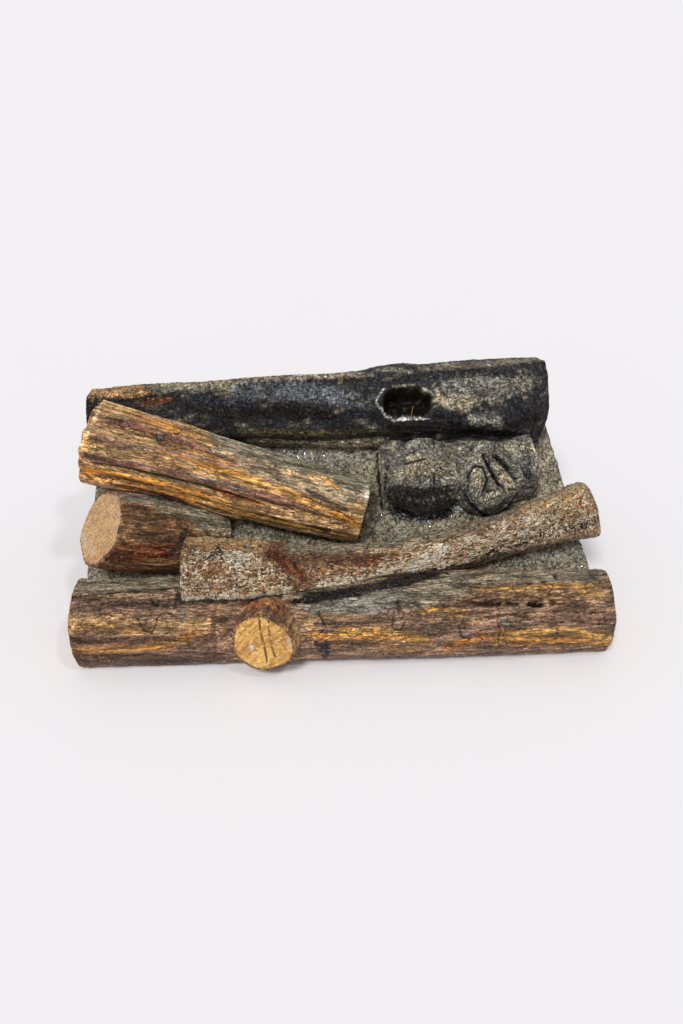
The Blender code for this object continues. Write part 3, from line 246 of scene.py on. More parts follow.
FRONT_STROKES = stroke_rows(
    ("dusty", ((70, 582), (130, 580), (190, 580), (230, 590)), 13, 0.95),
    ("khaki", ((80, 576), (130, 576), (190, 576)), 6, 0.6),
    ("dusty", ((300, 598), (360, 596), (420, 592), (470, 580)), 17, 0.95),
    ("grey", ((310, 604), (360, 606), (400, 600)), 11, 0.8),
    ("dusty", ((470, 578), (540, 576), (600, 576)), 9, 0.85),
    # Painted shadows on the front log's top: in the gap under the birch, and under the short log
    ("soot", ((296, 600), (345, 592), (400, 581), (446, 570)), 6.5, 1.0, -0.0020, 0.6),
    ("soot", ((94, 568), (110, 573), (124, 571)), 3.2, 0.9),
    ("mauve", ((68, 606), (140, 604), (214, 606)), 9, 0.85),
    ("plum", ((68, 600), (120, 602), (180, 604)), 3, 0.5),
    ("tan", ((70, 622), (130, 622), (180, 628), (212, 624)), 9, 0.85),
    ("ochre", ((70, 630), (110, 628), (150, 630)), 5, 0.7),
    ("mauve", ((138, 616), (165, 616)), 6, 0.8, 0.0010),
    ("dark brown", ((67, 638), (90, 641), (150, 641), (214, 642)), 4.2, 0.85, -0.0010),
    ("red brown", ((67, 643), (110, 645), (164, 643)), 3.4, 0.45),
    ("brown", ((150, 640), (212, 634)), 4, 0.7),
    ("rust", ((178, 636), (212, 630)), 3, 0.8),
    ("ochre", ((69, 651), (110, 650), (144, 648), (174, 646), (190, 640)), 3.8, 0.85, -0.0006),
    ("orange", ((69, 651), (96, 651), (114, 649)), 1.6, 0.8),
    ("orange", ((132, 649), (150, 648), (174, 646)), 1.6, 0.8),
    ("brown", ((70, 656), (140, 657), (222, 655)), 5, 0.7),
    ("red brown", ((70, 658), (140, 658), (222, 656)), 4.6, 0.35),
    ("dark brown", ((70, 662), (140, 662), (222, 659)), 4.0, 0.8),
    ("dark brown", ((330, 655), (400, 656), (470, 657), (540, 650)), 1.6, 0.7),
    ("dark brown", ((72, 656), (110, 656), (160, 655)), 1.2, 0.8, -0.0008),
    ("grey", ((186, 602), (183, 612), (182, 622)), 2.4, 0.7),
    ("plum", ((215, 606), (213, 632), (216, 656)), 2.8, 0.7, -0.0012),
    ("brown", ((222, 612), (224, 640)), 5, 0.7),
    ("rust", ((240, 605), (262, 601), (290, 604)), 3.4, 0.7),
    ("tan", ((302, 616), (312, 628), (316, 640)), 6, 0.7),
    ("pale tan", ((306, 619), (322, 622)), 1.2, 0.8, 0.0010),
    ("pale tan", ((306, 624), (324, 628)), 1.2, 0.8, 0.0010),
    ("soot", ((318, 612), (322, 620), (326, 628), (320, 634)), 1.0, 0.9, -0.0014),
    ("orange", ((312, 634), (326, 636), (344, 638)), 2.4, 1.0, 0.0, 0.7),
    ("rust", ((318, 640), (346, 640)), 2.6, 0.7),
    ("char", ((316, 643), (331, 643)), 3.2, 1.0, 0.0016, 0.3),
    ("char", ((320, 648), (329, 648), (325, 655)), 3.4, 1.0, 0.0016, 0.3),
    ("soot", ((315, 643), (320, 652), (326, 657), (332, 650)), 0.8, 0.9, -0.0012),
    ("ochre", ((332, 634), (366, 632), (400, 636), (430, 642)), 7.5, 0.95),
    ("gold", ((336, 631), (378, 630), (398, 634)), 3.0, 0.8),
    ("orange", ((350, 638), (390, 638), (420, 643)), 2.0, 0.8),
    ("pale tan", ((392, 639), (420, 645), (452, 648)), 1.2, 0.8, 0.0008),
    ("rust", ((446, 648), (464, 642), (484, 637), (502, 636)), 5.0, 0.85),
    ("orange", ((450, 644), (468, 640), (492, 636)), 2.0, 0.8),
    ("ochre", ((498, 638), (540, 635), (575, 636), (615, 640)), 9.0, 0.95, -0.0008),
    ("gold", ((520, 633), (560, 631), (600, 636), (614, 640)), 3.6, 0.8),
    ("orange", ((516, 643), (560, 641), (590, 640)), 2.6, 0.8),
    ("dark brown", ((558, 628), (557, 640)), 1.0, 0.7, -0.0008),
    ("brown", ((330, 645), (380, 645), (420, 650), (450, 654)), 1.8, 0.85, -0.0010),
    ("mauve", ((330, 651), (400, 654), (470, 655), (520, 650)), 3.2, 0.8),
    ("ochre", ((380, 649), (420, 651)), 1.4, 0.7),
    ("mauve", ((396, 622), (440, 626), (490, 620), (560, 614), (614, 616)), 8.0, 0.85),
    ("tan", ((430, 620), (460, 618), (484, 622)), 3.0, 0.7),
    ("ochre", ((420, 612), (444, 610), (466, 613)), 3.0, 0.9),
    ("gold", ((428, 611), (456, 611)), 1.2, 0.7),
    ("dark brown", ((480, 618), (540, 611), (612, 612)), 1.0, 0.7, -0.0008),
    ("dark brown", ((520, 626), (570, 621), (614, 626)), 1.1, 0.8, -0.0010),
    ("plum", ((540, 617), (614, 620)), 3.0, 0.6),
    ("ochre", ((474, 590), (500, 588), (540, 586), (600, 586)), 3.0, 0.95),
    ("gold", ((474, 590), (510, 588)), 1.2, 0.8),
    ("tan", ((500, 597), (575, 596), (606, 598)), 6.0, 0.85),
    ("ochre", ((576, 590), (604, 594)), 3.0, 0.7),
    ("brown", ((472, 600), (500, 600)), 6.0, 0.9, -0.0022),
    ("dark brown", ((474, 603), (500, 603)), 3.4, 1.0, -0.0034, 0.3),
    ("brown", ((508, 598), (522, 598)), 6.0, 0.7, -0.0014),
    ("soot", ((508, 603), (518, 604)), 2.6, 1.0, -0.0030, 0.4),
    ("dark brown", ((528, 598), (540, 598)), 5.0, 0.8, -0.0020),
    ("soot", ((530, 604), (541, 605)), 3.6, 1.0, -0.0036, 1.0),
    ("brown", ((542, 592), (547, 594)), 5.0, 0.8, -0.0016),
    ("dark brown", ((543, 582), (545, 584)), 2.4, 0.95, -0.0020),
    ("dark brown", ((551, 601), (553, 603)), 2.8, 0.9, -0.0024),
    ("brown", ((560, 605), (572, 603)), 3.0, 0.8, -0.0016),
    ("plum", ((566, 596), (574, 600)), 4.0, 0.6, -0.0010),
    ("soot", ((554, 574), (556, 578)), 2.2, 0.9, -0.0020),
    ("dark brown", ((527, 582), (530, 583)), 2.2, 0.8, -0.0018),
    ("dark brown", ((510, 587), (513, 588)), 1.8, 0.7, -0.0012),
    ("olive dust", ((500, 574), (512, 575)), 4.0, 0.7),
    ("soot", ((398, 600), (399, 612)), 2.6, 0.8, -0.0014),
    ("char", ((412, 601), (420, 606)), 3.0, 0.6, -0.0010),
    # Three small knots: pale rings, lightened partly as painted highlights
    ("dusty", ((397, 619), (401, 624)), 3.0, 0.8, 0.0018, 0.7),
    ("soot", ((393, 616), (392, 628), (400, 631), (405, 622)), 1.1, 0.9, -0.0012),
    ("grey", ((464, 630), (467, 636)), 3.0, 0.8, 0.0016, 0.7),
    ("soot", ((459, 626), (462, 638), (470, 639)), 1.1, 0.9, -0.0012),
    ("soot", ((464, 618), (462, 623), (465, 628)), 0.8, 0.7, -0.0010),
    ("grey", ((503, 619), (509, 624)), 3.6, 0.8, 0.0020, 0.8),
    ("soot", ((497, 606), (500, 612), (497, 620), (501, 632), (498, 640), (500, 648)), 1.0, 0.8, -0.0012),
    ("soot", ((507, 628), (504, 636), (508, 648)), 0.8, 0.6, -0.0010),
    ("soot", ((68, 597), (110, 593), (150, 590), (190, 587)), 0.9, 0.9, -0.0010),
    ("soot", ((80, 601), (120, 598), (160, 600)), 0.8, 0.7, -0.0008),
    ("soot", ((152, 602), (157, 605)), 2.4, 0.9, -0.0018),
    ("soot", ((131, 590), (139, 590)), 2.0, 0.8, -0.0012),
    ("soot", ((137, 618), (144, 631), (152, 633), (158, 618), (166, 612), (176, 616)), 0.9, 0.9, -0.0012),
)
BRANCH_STROKES = stroke_rows(
    ("brown", ((232, 612), (236, 640), (232, 662)), 6, 0.8),
    ("rust", ((250, 606), (280, 606)), 5, 0.6),
    ("tan", ((296, 620), (300, 645)), 5, 0.7),
)
# The stub's sawn face: two drying cracks and the pith
STUB_STROKES = stroke_rows(
    ("dark brown", ((259, 614), (260, 632), (264, 645), (267, 662)), 1.3, 0.95, -0.0010),
    ("dark brown", ((268, 612), (269, 632), (271, 645), (275, 657)), 1.2, 0.95, -0.0010),
    ("tan", ((251, 647), (252, 648)), 7.0, 0.6),
    ("rust", ((245, 643), (251, 640), (257, 644), (256, 652), (250, 654), (245, 650)), 1.0, 0.5),
    ("white", ((251, 647), (252, 648)), 2.8, 0.9, 0.0006),
    ("white", ((285, 622), (289, 632), (291, 646)), 2.6, 0.75, 0.0006),
    ("pale tan", ((264, 612), (280, 613), (291, 622)), 2.2, 0.8),
    ("rust", ((283, 620), (286, 634), (285, 650)), 0.8, 0.7, -0.0004),
)
SHORT_FACE_STROKES = stroke_rows(
    ("white", ((98, 490), (110, 487), (118, 488)), 3.0, 0.85, 0.0008),
    ("dusty", ((116, 492), (119, 504)), 3.0, 0.6),
    ("ochre", ((112, 540), (98, 558), (84, 561)), 3.0, 0.7),
    ("cream", ((84, 536), (92, 550)), 5.0, 0.5),
    ("brown", ((78, 508), (74, 522), (74, 540)), 1.4, 0.7),
    ("tan", ((90, 510), (100, 530)), 7.0, 0.5),
)
SHORT_STROKES = stroke_rows(
    ("grey", ((122, 494), (150, 497), (176, 504)), 8, 0.9),
    ("dusty", ((160, 506), (186, 512)), 9, 0.8),
    ("brown", ((122, 518), (150, 522), (184, 530)), 12, 0.7),
    ("dark brown", ((122, 512), (140, 508), (160, 511)), 1.0, 0.9, -0.0008),
    ("dark brown", ((124, 522), (140, 526), (162, 523)), 1.0, 0.9, -0.0008),
    ("dark brown", ((128, 534), (150, 535), (172, 532)), 1.1, 0.9, -0.0008),
    ("rust", ((112, 547), (132, 547), (158, 549)), 3.0, 0.95),
    ("orange", ((114, 546), (128, 546)), 1.6, 0.8),
    ("red brown", ((106, 552), (130, 553), (176, 550)), 10.0, 0.9, 0.0, 0.8),
    ("rust", ((118, 548), (140, 549), (160, 552)), 2.0, 0.7),
    ("rust", ((118, 568), (134, 570)), 2.0, 0.8),
    ("soot", ((172, 552), (182, 545), (184, 534)), 5.0, 0.8),
    ("khaki", ((184, 502), (200, 516), (214, 530)), 11, 0.9, 0.0010),
    ("khaki", ((210, 512), (226, 524)), 14, 0.95),
)
SPLIT_STROKES = stroke_rows(
    ("mauve", ((105, 397), (140, 405), (174, 414), (233, 430), (262, 440)), 4.4, 0.95),
    ("plum", ((160, 408), (200, 419), (236, 430)), 1.8, 0.85),
    ("tan", ((112, 408), (140, 416), (200, 434), (236, 446)), 5.0, 0.9),
    ("ochre", ((126, 412), (150, 421), (182, 431), (214, 443), (250, 456)), 4.2, 0.8),
    ("orange", ((146, 420), (168, 427), (180, 431)), 3.2, 1.0),
    ("gold", ((152, 422), (172, 428)), 1.4, 0.8),
    ("soot", ((176, 425), (182, 430), (178, 434), (160, 431)), 0.9, 0.8, -0.0010),
    ("plum", ((96, 418), (131, 424), (160, 434), (200, 448), (236, 466)), 5.0, 0.95),
    ("rust", ((132, 426), (156, 434)), 2.0, 0.5),
    ("pale tan", ((99, 429), (130, 434), (150, 440)), 1.6, 0.85),
    ("ochre", ((166, 440), (200, 452), (250, 472)), 1.8, 0.7),
    ("mauve", ((94, 437), (121, 443), (152, 449), (190, 458), (232, 470)), 4.8, 0.95),
    ("plum", ((95, 438), (122, 445)), 3.0, 0.7),
    ("tan", ((90, 448), (142, 456), (193, 465), (230, 474)), 3.6, 0.95),
    ("orange", ((156, 451), (180, 456), (204, 464)), 1.2, 0.9),
    ("ochre", ((196, 464), (214, 468), (246, 477), (282, 488), (310, 500)), 5.0, 0.95),
    ("orange", ((200, 464), (222, 469), (244, 476)), 2.4, 0.95),
    ("gold", ((222, 471), (252, 480), (284, 490)), 1.6, 0.8),
    ("soot", ((214, 472), (240, 480), (268, 489)), 1.0, 0.7, -0.0010),
    ("plum", ((84, 456), (113, 461), (162, 470), (203, 480), (244, 491), (290, 506)), 4.6, 0.95),
    ("dark brown", ((86, 455), (113, 460)), 3.4, 0.7),
    # A painted highlight along the dark ridge's crest
    ("pale tan", ((136, 466), (150, 469), (166, 473)), 1.0, 0.5, 0.0008, 0.7),
    ("grey", ((186, 474), (220, 482), (250, 490)), 1.8, 0.6, 0.0006),
    # Painted shadow in the groove under the dark ridge
    ("soot", ((92, 463), (121, 467), (162, 476), (203, 486), (244, 498), (270, 507)), 1.6, 0.95, -0.0018),
    ("ochre", ((76, 470), (121, 477), (182, 492), (244, 510), (300, 526)), 8.0, 0.95),
    ("orange", ((76, 468), (110, 474), (160, 484), (200, 494)), 3.4, 0.9),
    ("orange", ((180, 496), (240, 512), (300, 528)), 2.6, 0.8),
    ("gold", ((186, 494), (214, 502), (262, 516), (320, 532)), 1.8, 0.8),
    ("brown", ((100, 474), (150, 484), (180, 490)), 1.4, 0.8),
    ("red brown", ((112, 484), (150, 492), (190, 504)), 2.6, 0.85, 0.0, 0.7),
    ("dark brown", ((196, 503), (240, 517), (290, 533)), 1.6, 0.8, -0.0010),
    ("red brown", ((214, 490), (240, 499), (276, 512), (330, 531)), 3.0, 0.95, -0.0010, 0.8),
    ("soot", ((218, 490), (244, 499)), 1.0, 0.7, -0.0008),
    ("tan", ((196, 500), (250, 518), (300, 533), (340, 538)), 2.4, 0.8),
    ("dusty", ((220, 438), (280, 456), (340, 478), (374, 492)), 16, 0.95),
    ("olive dust", ((256, 444), (330, 466), (368, 486)), 10, 0.8),
    ("dusty", ((240, 464), (290, 482), (350, 502)), 8, 0.7),
    ("tan", ((309, 477), (322, 477), (332, 484)), 4.0, 0.95, 0.0012),
    ("orange", ((326, 480), (340, 489)), 1.8, 0.8),
    ("char", ((306, 490), (322, 498), (346, 510)), 3.0, 0.8, -0.0008, 0.4),
    ("ochre", ((284, 492), (310, 503), (340, 516), (358, 526)), 4.4, 0.95),
    ("gold", ((296, 498), (326, 510)), 1.6, 0.8),
    ("orange", ((336, 513), (352, 520), (362, 528)), 3.0, 1.0),
    ("plum", ((262, 492), (300, 504), (330, 518)), 2.4, 0.85),
    ("soot", ((300, 494), (320, 504), (340, 512), (356, 522)), 1.0, 0.85, -0.0012),
    ("cream", ((366, 490), (370, 500)), 4.0, 0.95, 0.0012),
    ("soot", ((280, 446), (290, 450)), 1.8, 0.95, -0.0012),
    ("pale tan", ((106, 396), (98, 412), (88, 432), (80, 450), (73, 468)), 2.6, 0.95),
    ("ochre", ((88, 440), (78, 460), (76, 470)), 2.4, 0.8),
    ("dusty", ((158, 435), (161, 439)), 3.0, 0.85, 0.0016),
    ("soot", ((156, 433), (157, 440), (163, 441), (164, 434)), 0.9, 0.8, -0.0010),
    ("tan", ((232, 504), (280, 514), (340, 528)), 5.0, 0.55),
    ("pale tan", ((240, 509), (290, 519), (336, 530)), 2.0, 0.5),
)
BIRCH_STROKES = stroke_rows(
    ("tan", ((190, 540), (230, 542), (268, 549)), 8, 0.9),
    ("pale tan", ((192, 537), (230, 540)), 4, 0.7),
    ("char", ((192, 550), (203, 560), (214, 557), (222, 548)), 3.4, 0.9),
    ("rust", ((190, 572), (222, 570)), 9, 0.7),
    ("red brown", ((270, 551), (284, 560), (296, 572), (302, 582)), 7.0, 0.95, -0.0010, 0.9),
    ("plum", ((276, 548), (300, 552), (330, 556)), 5.0, 0.8),
    ("rust", ((286, 560), (298, 576)), 2.6, 0.6, 0.0, 0.9),
    ("soot", ((268, 552), (271, 568), (280, 582), (290, 588)), 1.0, 0.85, -0.0012),
    ("pale tan", ((292, 577), (300, 582)), 2.0, 0.4),
    ("brown", ((300, 556), (340, 558), (372, 560)), 7.0, 0.85),
    ("rust", ((320, 572), (370, 566), (412, 556)), 9.0, 0.85),
    ("red brown", ((330, 563), (350, 561), (384, 558)), 3.0, 0.8, 0.0, 0.4),
    ("dusty", ((290, 546), (340, 547), (400, 542), (460, 528)), 8, 1.0),
    ("dusty", ((460, 528), (500, 514), (540, 498)), 8, 0.9),
    ("pale tan", ((356, 549), (380, 551), (402, 550)), 2.6, 0.85, 0.0006),
    ("cream", ((360, 552), (384, 552)), 1.0, 0.8),
    ("ochre", ((408, 566), (430, 561)), 4.0, 0.8),
    ("tan", ((530, 508), (560, 496), (588, 484)), 14.0, 0.9),
    ("gold", ((550, 504), (580, 494)), 6.0, 0.6),
    ("rust", ((580, 500), (592, 508), (592, 520)), 7.0, 0.85),
    ("soot", ((236, 585), (237, 602)), 1.0, 0.9, -0.0012),
    # Painted shade along the birch's underside
    ("soot", ((424, 576), (480, 558), (540, 536), (596, 520)), 5.5, 1.0, 0.0, 0.2),
    ("soot", ((300, 598), (360, 588), (424, 576)), 3.4, 0.9),
)
BACK_STROKES = stroke_rows(
    ("brown", ((90, 392), (120, 390), (150, 393)), 10, 1.0, 0.001),
    ("tan", ((92, 391), (116, 390), (148, 392)), 8, 0.95),
    ("fresh wood", ((96, 393), (118, 393), (142, 395)), 4, 0.6),
    ("soot", ((104, 399), (130, 401), (152, 394)), 1.4, 0.95, -0.0016),
    ("rust", ((140, 404), (172, 400)), 4.0, 0.5),
    ("soot", ((150, 396), (160, 393)), 2.6, 0.9, -0.0016),
    ("soot", ((166, 404), (176, 400)), 2.4, 0.9, -0.0014),
    ("olive dust", ((150, 388), (200, 385), (240, 386)), 7, 0.8),
    ("dusty", ((160, 386), (240, 380), (300, 377), (372, 374)), 3.4, 0.95),
    ("satin char", ((240, 391), (300, 391), (340, 396)), 11, 0.95, 0.0, 0.2),
    ("satin char", ((336, 398), (368, 402)), 9, 0.8),
    ("grey", ((350, 396), (366, 400)), 4, 0.5),
    ("soot", ((190, 405), (230, 412), (300, 413), (340, 416)), 7, 0.95, 0.0, 0.9),
    ("blue char", ((190, 400), (224, 402), (262, 408)), 3.0, 0.7, 0.0, 0.9),
    ("blue char", ((340, 413), (366, 416), (378, 419)), 4.0, 0.9, 0.0, 0.9),
    ("blue char", ((352, 388), (400, 382), (440, 380)), 2.6, 0.9, 0.0, 0.6),
    ("soot", ((380, 382), (440, 379), (500, 374)), 1.6, 0.8, -0.0010),
    ("olive dust", ((376, 370), (390, 369), (412, 373)), 3.0, 0.8, 0.0010),
    ("dusty", ((420, 368), (480, 364), (540, 360)), 3.4, 0.6),
    ("grey", ((440, 392), (470, 388), (500, 390)), 15, 0.9),
    ("dusty", ((436, 398), (460, 404), (480, 402)), 8, 0.9),
    ("olive dust", ((500, 384), (520, 384), (534, 380)), 9, 0.6),
    ("grey", ((474, 420), (486, 418), (498, 422)), 8.0, 0.95, 0.0016),
    ("soot", ((510, 422), (524, 416), (534, 420)), 10, 0.95, 0.0, 0.8),
    ("blue char", ((508, 408), (524, 412)), 4, 0.7, 0.0, 0.9),
    ("char", ((534, 372), (538, 410)), 4, 0.7),
    ("soot", ((436, 414), (452, 420), (462, 428)), 6.0, 0.95, 0.0, 0.9),
    ("blue char", ((446, 414), (460, 418)), 3.0, 0.9, 0.0, 0.9),
    ("soot", ((495, 402), (503, 418), (512, 430)), 0.9, 0.9, -0.0010),
    # Painted shade along the back log's foot, where it meets the bed
    ("soot", ((380, 428), (430, 430), (520, 434)), 4.0, 0.9, 0.0, 0.6),
    ("olive", ((240, 432), (290, 434), (340, 434), (388, 432)), 4.0, 0.9, 0.0, 0.4),
    ("khaki", ((250, 442), (300, 445), (350, 444), (388, 442)), 5.0, 0.95),
    ("soot", ((262, 438), (320, 440), (376, 438)), 1.0, 0.7),
    # A painted highlight
    ("white", ((489, 364), (491, 365)), 1.2, 0.9),
    ("soot", ((262, 378), (268, 388)), 0.8, 0.9, -0.0010),
    ("soot", ((282, 380), (290, 394)), 0.8, 0.8, -0.0008),
)
# The white ragged lip of the burnt hole, left and below
LIP_STROKES = stroke_rows(
    ("white", ((384, 389), (380, 394), (376, 401), (379, 408)), 1.1, 0.85, 0.0012),
    ("white", ((381, 408), (386, 417), (394, 421), (404, 420)), 1.2, 0.9, 0.0012),
    ("white", ((404, 420), (418, 419), (429, 419)), 1.1, 0.9, 0.0010),
    ("cream", ((424, 389), (430, 391), (433, 395)), 1.3, 0.8, 0.0008),
    ("khaki", ((394, 386), (414, 385)), 1.2, 0.7, 0.0006),
)
LEFT_KNOT_STROKES = stroke_rows(
    ("khaki", ((392, 470), (420, 466), (450, 468)), 12, 0.95, 0.0026),
    ("dusty", ((400, 474), (430, 472)), 6, 0.6),
    ("khaki", ((390, 452), (396, 442), (408, 436), (424, 434)), 3.0, 0.95, 0.0034),
    ("char", ((396, 456), (406, 449), (422, 442)), 6.4, 0.95, -0.0070, 0.8),
    ("blue char", ((400, 448), (416, 441)), 2.4, 0.9, 0.0, 1.0),
    ("khaki", ((396, 462), (410, 458), (426, 450)), 2.6, 0.9, 0.0024),
    ("soot", ((386, 466), (406, 464), (426, 459)), 1.2, 0.9, -0.0026),
    ("dusty", ((432, 444), (446, 454), (454, 462)), 6.0, 0.8, 0.0016),
    ("soot", ((434, 474), (435, 493)), 1.2, 0.95, -0.0020),
    ("tan", ((433, 488), (434, 494)), 1.4, 0.8),
    ("khaki", ((438, 471), (442, 474)), 3.0, 0.9, 0.0018),
    ("soot", ((440, 468), (446, 472), (441, 478)), 0.9, 0.9, -0.0012),
    # Painted shadow under the left knot
    ("soot", ((386, 488), (400, 492), (424, 495), (450, 492)), 8, 0.97, -0.0020, 0.5),
    ("soot", ((388, 496), (404, 506), (430, 510), (450, 502)), 9, 0.97, 0.0, 0.5),
    ("blue char", ((396, 508), (430, 512)), 4.0, 0.85, 0.0, 0.9),
)
RIGHT_KNOT_STROKES = stroke_rows(
    ("grey", ((462, 466), (466, 490), (480, 504), (500, 506)), 9, 0.85),
    ("khaki", ((460, 480), (464, 464), (474, 454), (486, 456)), 3.0, 0.9, 0.0034),
    ("soot", ((467, 492), (468, 476), (474, 466), (483, 467), (487, 480), (483, 492)), 1.3, 0.95, -0.0030),
    ("khaki", ((475, 472), (479, 480), (476, 487)), 4.2, 0.8, 0.0016),
    ("tan", ((476, 474), (479, 482)), 2.0, 0.4),
    ("soot", ((494, 456), (506, 466), (518, 480)), 3.2, 1.0, -0.0060),
    ("soot", ((483, 455), (488, 466), (498, 484)), 2.2, 1.0, -0.0040),
    ("khaki", ((494, 464), (504, 474), (513, 485)), 3.6, 0.85, 0.0016),
    ("tan", ((502, 475), (510, 485)), 2.2, 0.5),
    ("soot", ((499, 484), (505, 490), (515, 490)), 1.4, 0.9, -0.0020),
    ("khaki", ((480, 500), (492, 494), (506, 492)), 3.2, 0.85, 0.0020),
    ("soot", ((486, 492), (494, 490)), 1.0, 0.9, -0.0010),
    ("soot", ((458, 486), (470, 504), (488, 518)), 1.6, 0.95, -0.0026),
    ("soot", ((518, 494), (508, 508), (492, 518)), 1.4, 0.9, -0.0020),
    ("satin char", ((474, 508), (488, 512), (502, 506)), 2.4, 0.7, 0.001),
    ("blue char", ((466, 500), (476, 510), (486, 516)), 2.2, 0.8, 0.0, 0.8),
)
CHARRED_STROKES = stroke_rows(
    ("khaki", ((500, 450), (530, 448), (540, 456)), 6, 0.8),
    ("blue char", ((518, 466), (530, 476)), 6, 0.7, 0.0, 0.6),
    ("grey", ((536, 460), (546, 480)), 6, 0.8),
    ("khaki", ((440, 444), (470, 450)), 4, 0.7),
    # Painted shadow on the charred log under the back log
    ("soot", ((430, 440), (500, 438), (520, 434)), 3, 0.9),
)
BED_STROKES = stroke_rows(
    ("khaki", ((92, 572), (140, 572), (186, 568)), 9, 0.8, 0.003),
    # The black strokes on the bed are painted shadows under and between the logs
    ("soot", ((104, 566), (124, 571)), 2.6, 0.9),
    ("soot", ((200, 416), (250, 428), (290, 438)), 6, 0.9, 0.0, 0.8),
    ("olive", ((262, 434), (330, 434), (388, 432)), 4.0, 0.95, 0.003, 0.7),
    ("soot", ((270, 428), (330, 427), (376, 425)), 2.4, 0.9),
    ("olive", ((384, 446), (380, 470), (384, 500)), 4.0, 0.7),
    ("soot", ((386, 440), (430, 438), (540, 434)), 5.0, 0.9, 0.0, 0.6),
    ("khaki", ((376, 524), (410, 530), (470, 524)), 8, 0.8, 0.002),
    ("soot", ((386, 500), (404, 516), (440, 514), (456, 506)), 7.0, 0.95, 0.0, 0.7),
    ("blue char", ((392, 512), (420, 520), (446, 516)), 3.4, 0.8, 0.0, 0.9),
    ("white", ((448, 505), (456, 507), (464, 506)), 3.0, 0.8, 0.002, 0.6),
    ("khaki", ((196, 532), (216, 538), (244, 544), (280, 549)), 11, 0.9, 0.019),
    ("soot", ((206, 506), (240, 518), (290, 532), (330, 540)), 1.8, 0.9),
    ("soot", ((300, 600), (380, 588), (480, 560), (560, 534), (590, 524)), 6.0, 1.0, 0.0, 0.8),
    ("soot", ((186, 496), (190, 516)), 2.6, 0.8),
    ("grey", ((500, 566), (540, 558), (580, 550)), 9, 0.6),
)

# The burnt-through hole in the back log: its place in the picture's pixels, how square and ragged its
# outline is, where the outline's slope begins and ends, and how deep and rough its inside is
HOLE_CENTRE = (407.5, 403.0)
HOLE_HALF_WIDTH = 23.5
HOLE_HALF_HEIGHT = 16.0
HOLE_SQUARENESS = 3.0
HOLE_RAGGED = 0.22
HOLE_OUTER_SHARE = 1.04
HOLE_INNER_SHARE = 0.90
HOLE_DEPTH = 0.034
HOLE_LUMP = 0.009
HOLE_LUMP_DEPTH = 0.004
# The fine wire that stands in the hole
WIRE_PLACE = (413.0, 412.0)
WIRE_SUNK = 0.010
WIRE_HEIGHT = 0.013
WIRE_RADIUS = 0.0005
WIRE_SIDES = 8
WIRE_TILT = math.radians(8)

# How far apart the vertices of each log's sheet are
PITCHES = {
    "front_log": 0.0014,
    "front_branch": 0.0011,
    "short_log": 0.0010,
    "split_log": 0.0012,
    "birch_log": 0.0012,
    "back_log": 0.0015,
    "charred_log": 0.0013,
    "left_knot": 0.0011,
    "right_knot": 0.0011,
}
# Rings of vertices from a log's rim to the middle of its end
CAP_RINGS = 16
KNOT_CAP_RINGS = 44
# How far into an end a vertex may lie and still count as the side
SIDE_SHARE = 0.0001
MERGE_DISTANCE = 0.000002

# Relief of the barks, in metres: width and run of the ridges, of the fibres and of the bands of colour, the
# size of the grit, and how far they all wander
RIDGE_WIDTH = 0.0085
RIDGE_RUN = 0.075
FIBRE_WIDTH = 0.0030
FIBRE_RUN = 0.024
BAND_WIDTH = 0.010
BAND_RUN = 0.11
BARK_GRIT = 0.0035
WANDER = 0.010
WANDER_SIZE = np.array((0.040, 0.040, 0.075))
FIBRE_SHARE = 0.26
GRIT_SHARE = 0.12
MEAN_HEIGHT_SHARE = 0.45
# Relief of burnt wood: lumps, the cells that its cracks part, blotches of dust, and fine grit
LUMP_SIZE = np.array((0.026, 0.026, 0.045))
BURNT_BLOTCH = np.array((0.012, 0.012, 0.02))
CELL_STRETCH = 1.6
CELL_WARP = 0.004
CELL_WARP_SIZE = 0.012
CRACK_SHARE = 0.07
CRACK_DEPTH = 0.0013
BURNT_GRIT = 0.0042
BURNT_GRIT_DEPTH = 0.0007
BACK_DEPTH = 0.0018
BACK_CELL = 0.014
CHARRED_DEPTH = 0.0030
CHARRED_CELL = 0.010
KNOT_CELL = 0.011
# The knots' crowns: how high they swell, and their lumps and grit
KNOT_DOMES = {"left_knot": 0.009, "right_knot": 0.007}
CROWN_LUMP = 0.016
CROWN_LUMP_DEPTH = 0.0016
CROWN_GRIT_DEPTH = 0.0005
# The shallow waves of a saw cut, and of a burnt end
SAW_WAVE = 0.006
SAW_DEPTH = 0.0006
SAW_RIM_GAIN = 8
BACK_END_DEPTH = 0.0016
CHARRED_END_DEPTH = 0.0018

# How far in from its ends a stroke breaks up, from what length it does so in full and from what half width
# its edge is as ragged as can be, in the picture's pixels
STROKE_END = 13
LONG_STROKE = 40
WIDE_STROKE = 3.0
STROKE_WORN_SHARE = 0.25
STROKE_OUTER_SHARE = 1.15
STROKE_INNER_SHARE = 0.55
# The ragged edges of strokes: width and run of their noise along the grain, its finer part, and the same
# for burnt wood, where they run alike in all directions
EDGE_WIDTH = 0.0035
EDGE_RUN = 0.022
EDGE_WANDER = 0.004
EDGE_SHARE = 0.34
FINE_EDGE = 0.0026
FINE_EDGE_SHARE = 0.26
BURNT_EDGE = 0.0050
BURNT_EDGE_SHARE = 0.36
BURNT_FINE_EDGE = 0.0024
PATCH_SIZE = 0.0055
PATCH_SHARE = 0.9
# From what slant to the camera strokes begin to take, and where they take in full
SLANT_BARE = -0.15
SLANT_FULL = 0.1
# How burnt wood squeezes the grain round and along
BURNT_GRAIN = (0.55, 0.55, 2.4)
# Pots of ash, which lie over the painted shade
ASH_POTS = ("khaki", "olive", "white", "dusty")
ASH_CLEAN_SHARE = 0.8
